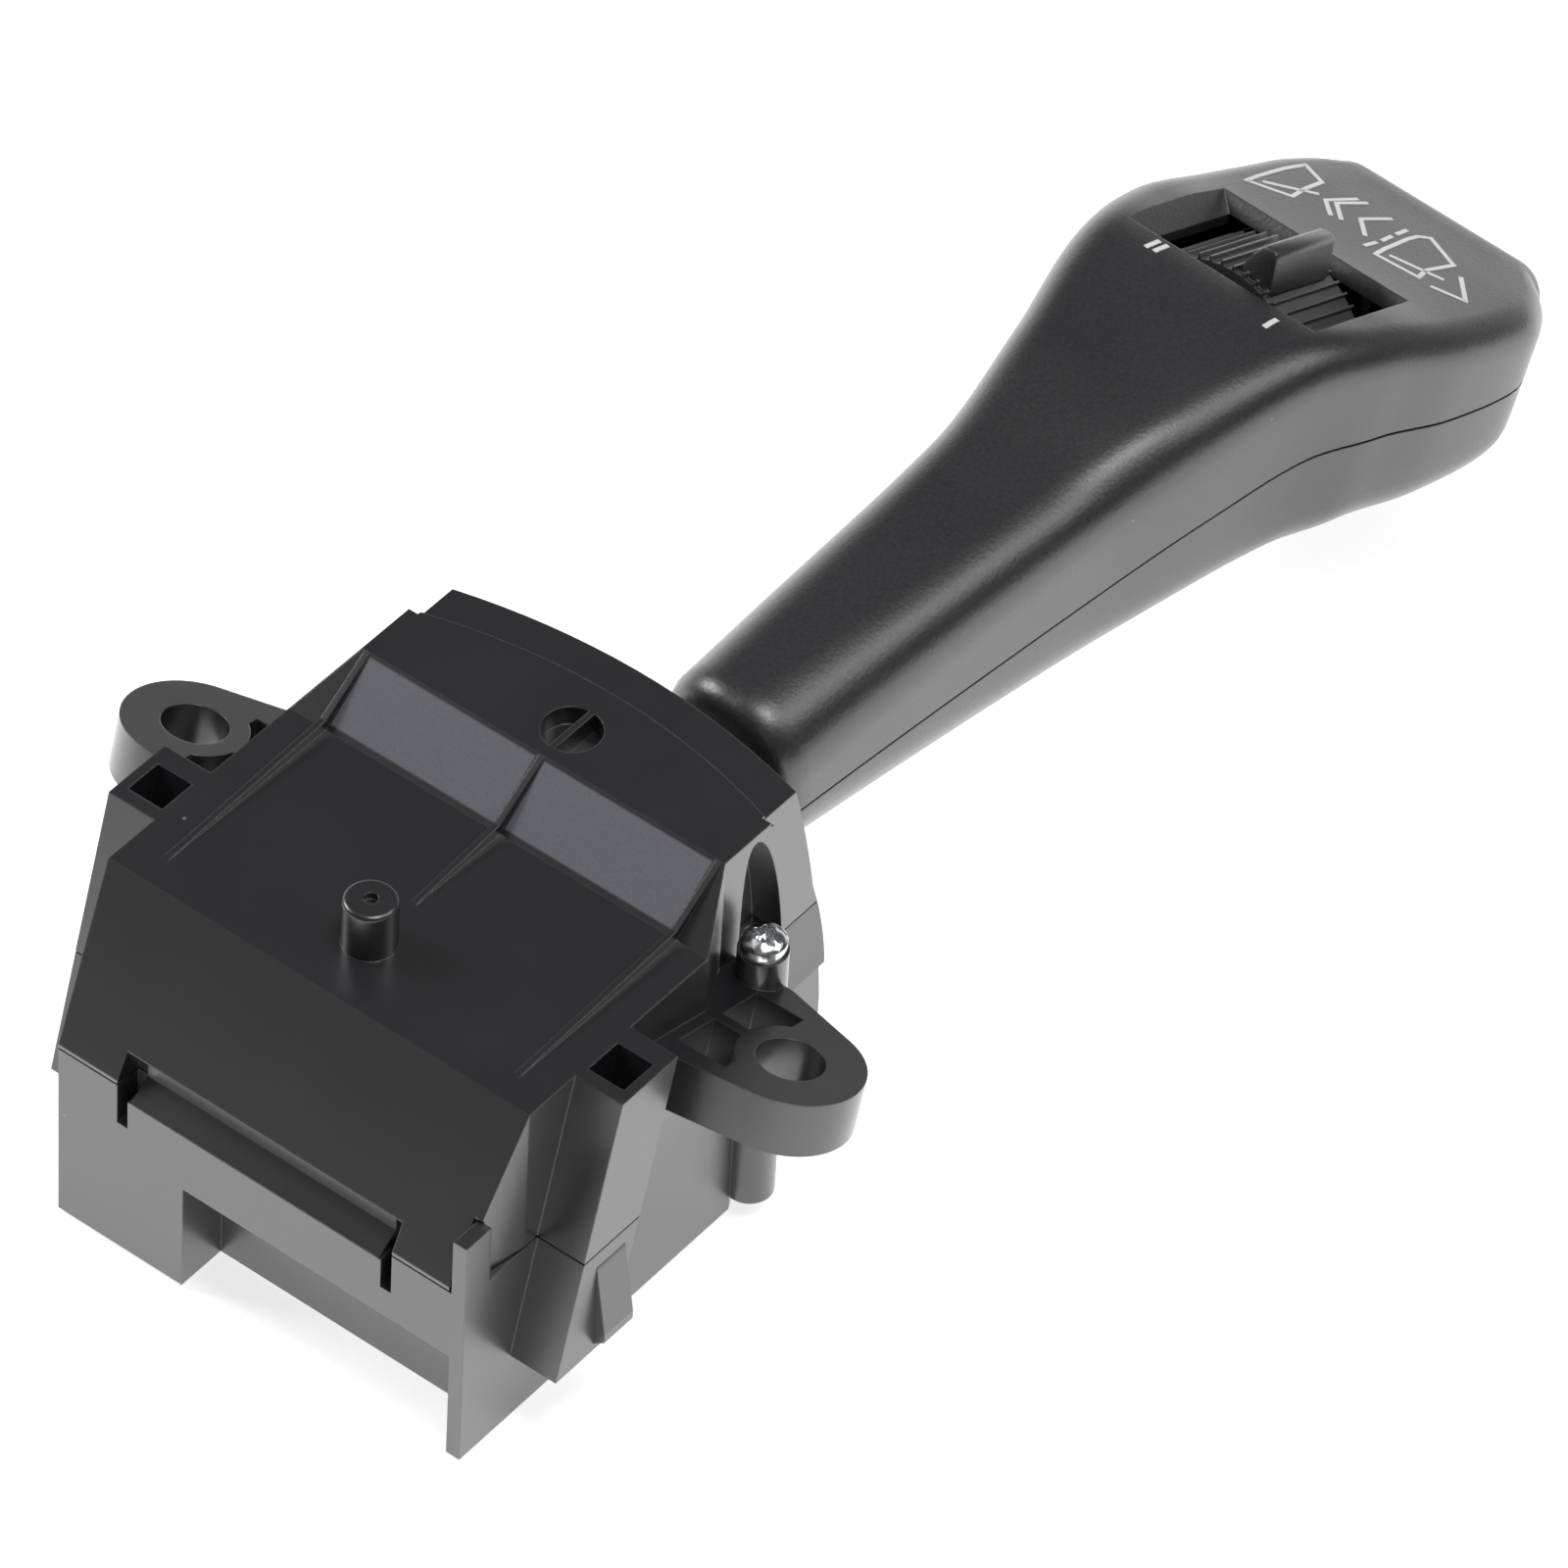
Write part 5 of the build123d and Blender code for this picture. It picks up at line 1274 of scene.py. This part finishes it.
class PalmMarks:
    """White signs printed on the palm of the lever, in millimetres."""

    step = 0.25
    height = 0.03
    sink = 0.05
    start_up = 20.0
    least_mitre = 0.45

    def __init__(self, places: LeverPlaces, shell: bpy.types.Object) -> None:
        """Keep the lever's places and the surface that carries the signs."""
        self.places = places
        self.surface = BVHTree.FromObject(shell, bpy.context.evaluated_depsgraph_get())

    def land(self, across: float, way: float) -> Optional[tuple[Vector, Vector]]:
        """Drop a point of the palm's plane onto the shell.

        Args:
            across: offset to the right.
            way: offset towards the tip.

        Returns:
            The place on the shell and its normal, or None beside it.
        """
        start = self.places.palm(across, way, self.start_up)
        place, normal = self.surface.ray_cast(start, -self.places.head_up())[:2]
        return None if place is None else (place, normal)

    def resample(self, stroke: Stroke) -> list[Vector]:
        """Return the stroke's line in short, even steps."""
        corners = [Vector(point) for point in stroke.points]
        if stroke.closed:
            corners.append(corners[0])
        line = [corners[0]]
        for first, second in zip(corners, corners[1:]):
            count = max(1, round((second - first).length / self.step))
            line += [first.lerp(second, share / count) for share in range(1, count + 1)]
        return line

    def add(self, mesh: Mesh, stroke: Stroke) -> None:
        """Lay one stroke on the shell as a thin closed band."""
        line = self.resample(stroke)
        last = len(line) - 1
        rows = []
        for index, middle in enumerate(line):
            before, after = line[max(0, index - 1)], line[min(last, index + 1)]
            if stroke.closed:
                before, after = line[(index - 1) % last], line[(index + 1) % last]
            way = (after - before).normalized()
            side = Vector((-way.y, way.x)) * stroke.width / 2
            first = (middle - before).normalized() if middle != before else way
            second = (after - middle).normalized() if after != middle else way
            mitre = 1 / max(self.least_mitre, math.sqrt(max(0.0, (1 + first.dot(second)) / 2)))
            row = []
            for lift, sign in ((self.height, -1), (self.height, 1), (-self.sink, 1), (-self.sink, -1)):
                spot = middle + side * sign * mitre
                landed = self.land(spot.x, spot.y)
                if landed is None:
                    return
                row.append(mesh.verts.new(landed[0] + landed[1] * lift * MM))
            rows.append(row)
        close(mesh, rows)

    def build(self, strokes: Iterable[Stroke], material: Material) -> None:
        """Build every sign as one piece."""
        mesh = bmesh.new()
        for stroke in strokes:
            self.add(mesh, stroke)
        Piece.place("palm_marks", mesh, "lever", Slot.NATURAL, material, smooth=False)


LEFT_WIPER = (
    (-12.2, 12.9), (-12.35, 15.1), (-12.35, 17.2), (-12.3, 19.8),
    (-11.9, 23.0), (-8.7, 21.6), (-8.5, 18.2), (-7.95, 15.25),
)
RIGHT_WIPER = (
    (3.8, 13.9), (3.45, 16.1), (3.3, 18.2), (3.1, 20.6), (3.2, 22.4),
    (4.0, 23.6), (8.8, 21.0), (8.25, 16.9), (8.9, 14.5),
)
MARKS: tuple[Stroke, ...] = (
    Stroke(LEFT_WIPER, closed=True),
    Stroke(((-11.35, 14.6), (-7.1, 18.9))),
    Stroke(RIGHT_WIPER, closed=True),
    Stroke(((4.55, 15.35), (10.4, 17.0))),
    Stroke(((-3.6, 16.1), (-6.0, 18.5), (-4.7, 22.6))),
    Stroke(((-2.5, 16.5), (-5.1, 19.2), (-3.7, 23.0))),
    Stroke(((0.8, 16.2), (-1.8, 19.0), (-0.4, 22.8))),
    Stroke(((2.1, 14.2), (2.2, 16.4))),
    Stroke(((2.2, 17.2), (2.0, 19.4))),
    Stroke(((1.95, 20.2), (1.8, 22.4))),
    Stroke(((10.65, 14.2), (14.25, 15.45), (10.7, 19.6))),
    Stroke(((-7.75, -10.45), (-7.5, -8.5)), 0.6),
    Stroke(((-6.75, -10.35), (-6.5, -8.45)), 0.6),
    Stroke(((8.1, -11.2), (8.2, -9.3)), 0.65),
)


def dress(materials: dict[Slot, Material]) -> None:
    """Give every CAD node the material of its slot.

    Args:
        materials: finished material of each slot.
    """
    slots = {part["node"]: Slot(part["material_slot"]) for part in frame["record"]["subparts"]}
    for name, node in frame["nodes"].items():
        slot = slots[name]
        node.data.materials.clear()
        node.data.materials.append(materials[slot])
        node.data.shade_smooth()
        LOG.info("%s wears %s", name, slot.value)


def main() -> None:
    """Build the scene."""
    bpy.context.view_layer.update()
    bpy.context.scene.view_settings.view_transform = "Standard"
    fit = CameraFit()
    fit.build()
    Studio().build(fit)
    effects = Effects()
    materials = {slot: finish.build(effects) for slot, finish in FINISHES.items()}
    dress(materials)
    places = LeverPlaces()
    screws = Screws()
    screws.build(places, materials[Slot.ZINC])
    screws.sleeves(materials[Slot.HOUSING])
    shell = LeverSkin(places).build(materials[Slot.LEVER])
    Wheel(places).build(materials[Slot.WHEEL])
    WindowBar().build(materials[Slot.HOUSING])
    PalmMarks(places, shell).build(MARKS, INK.build(effects))


if __name__ == "__main__":
    main()
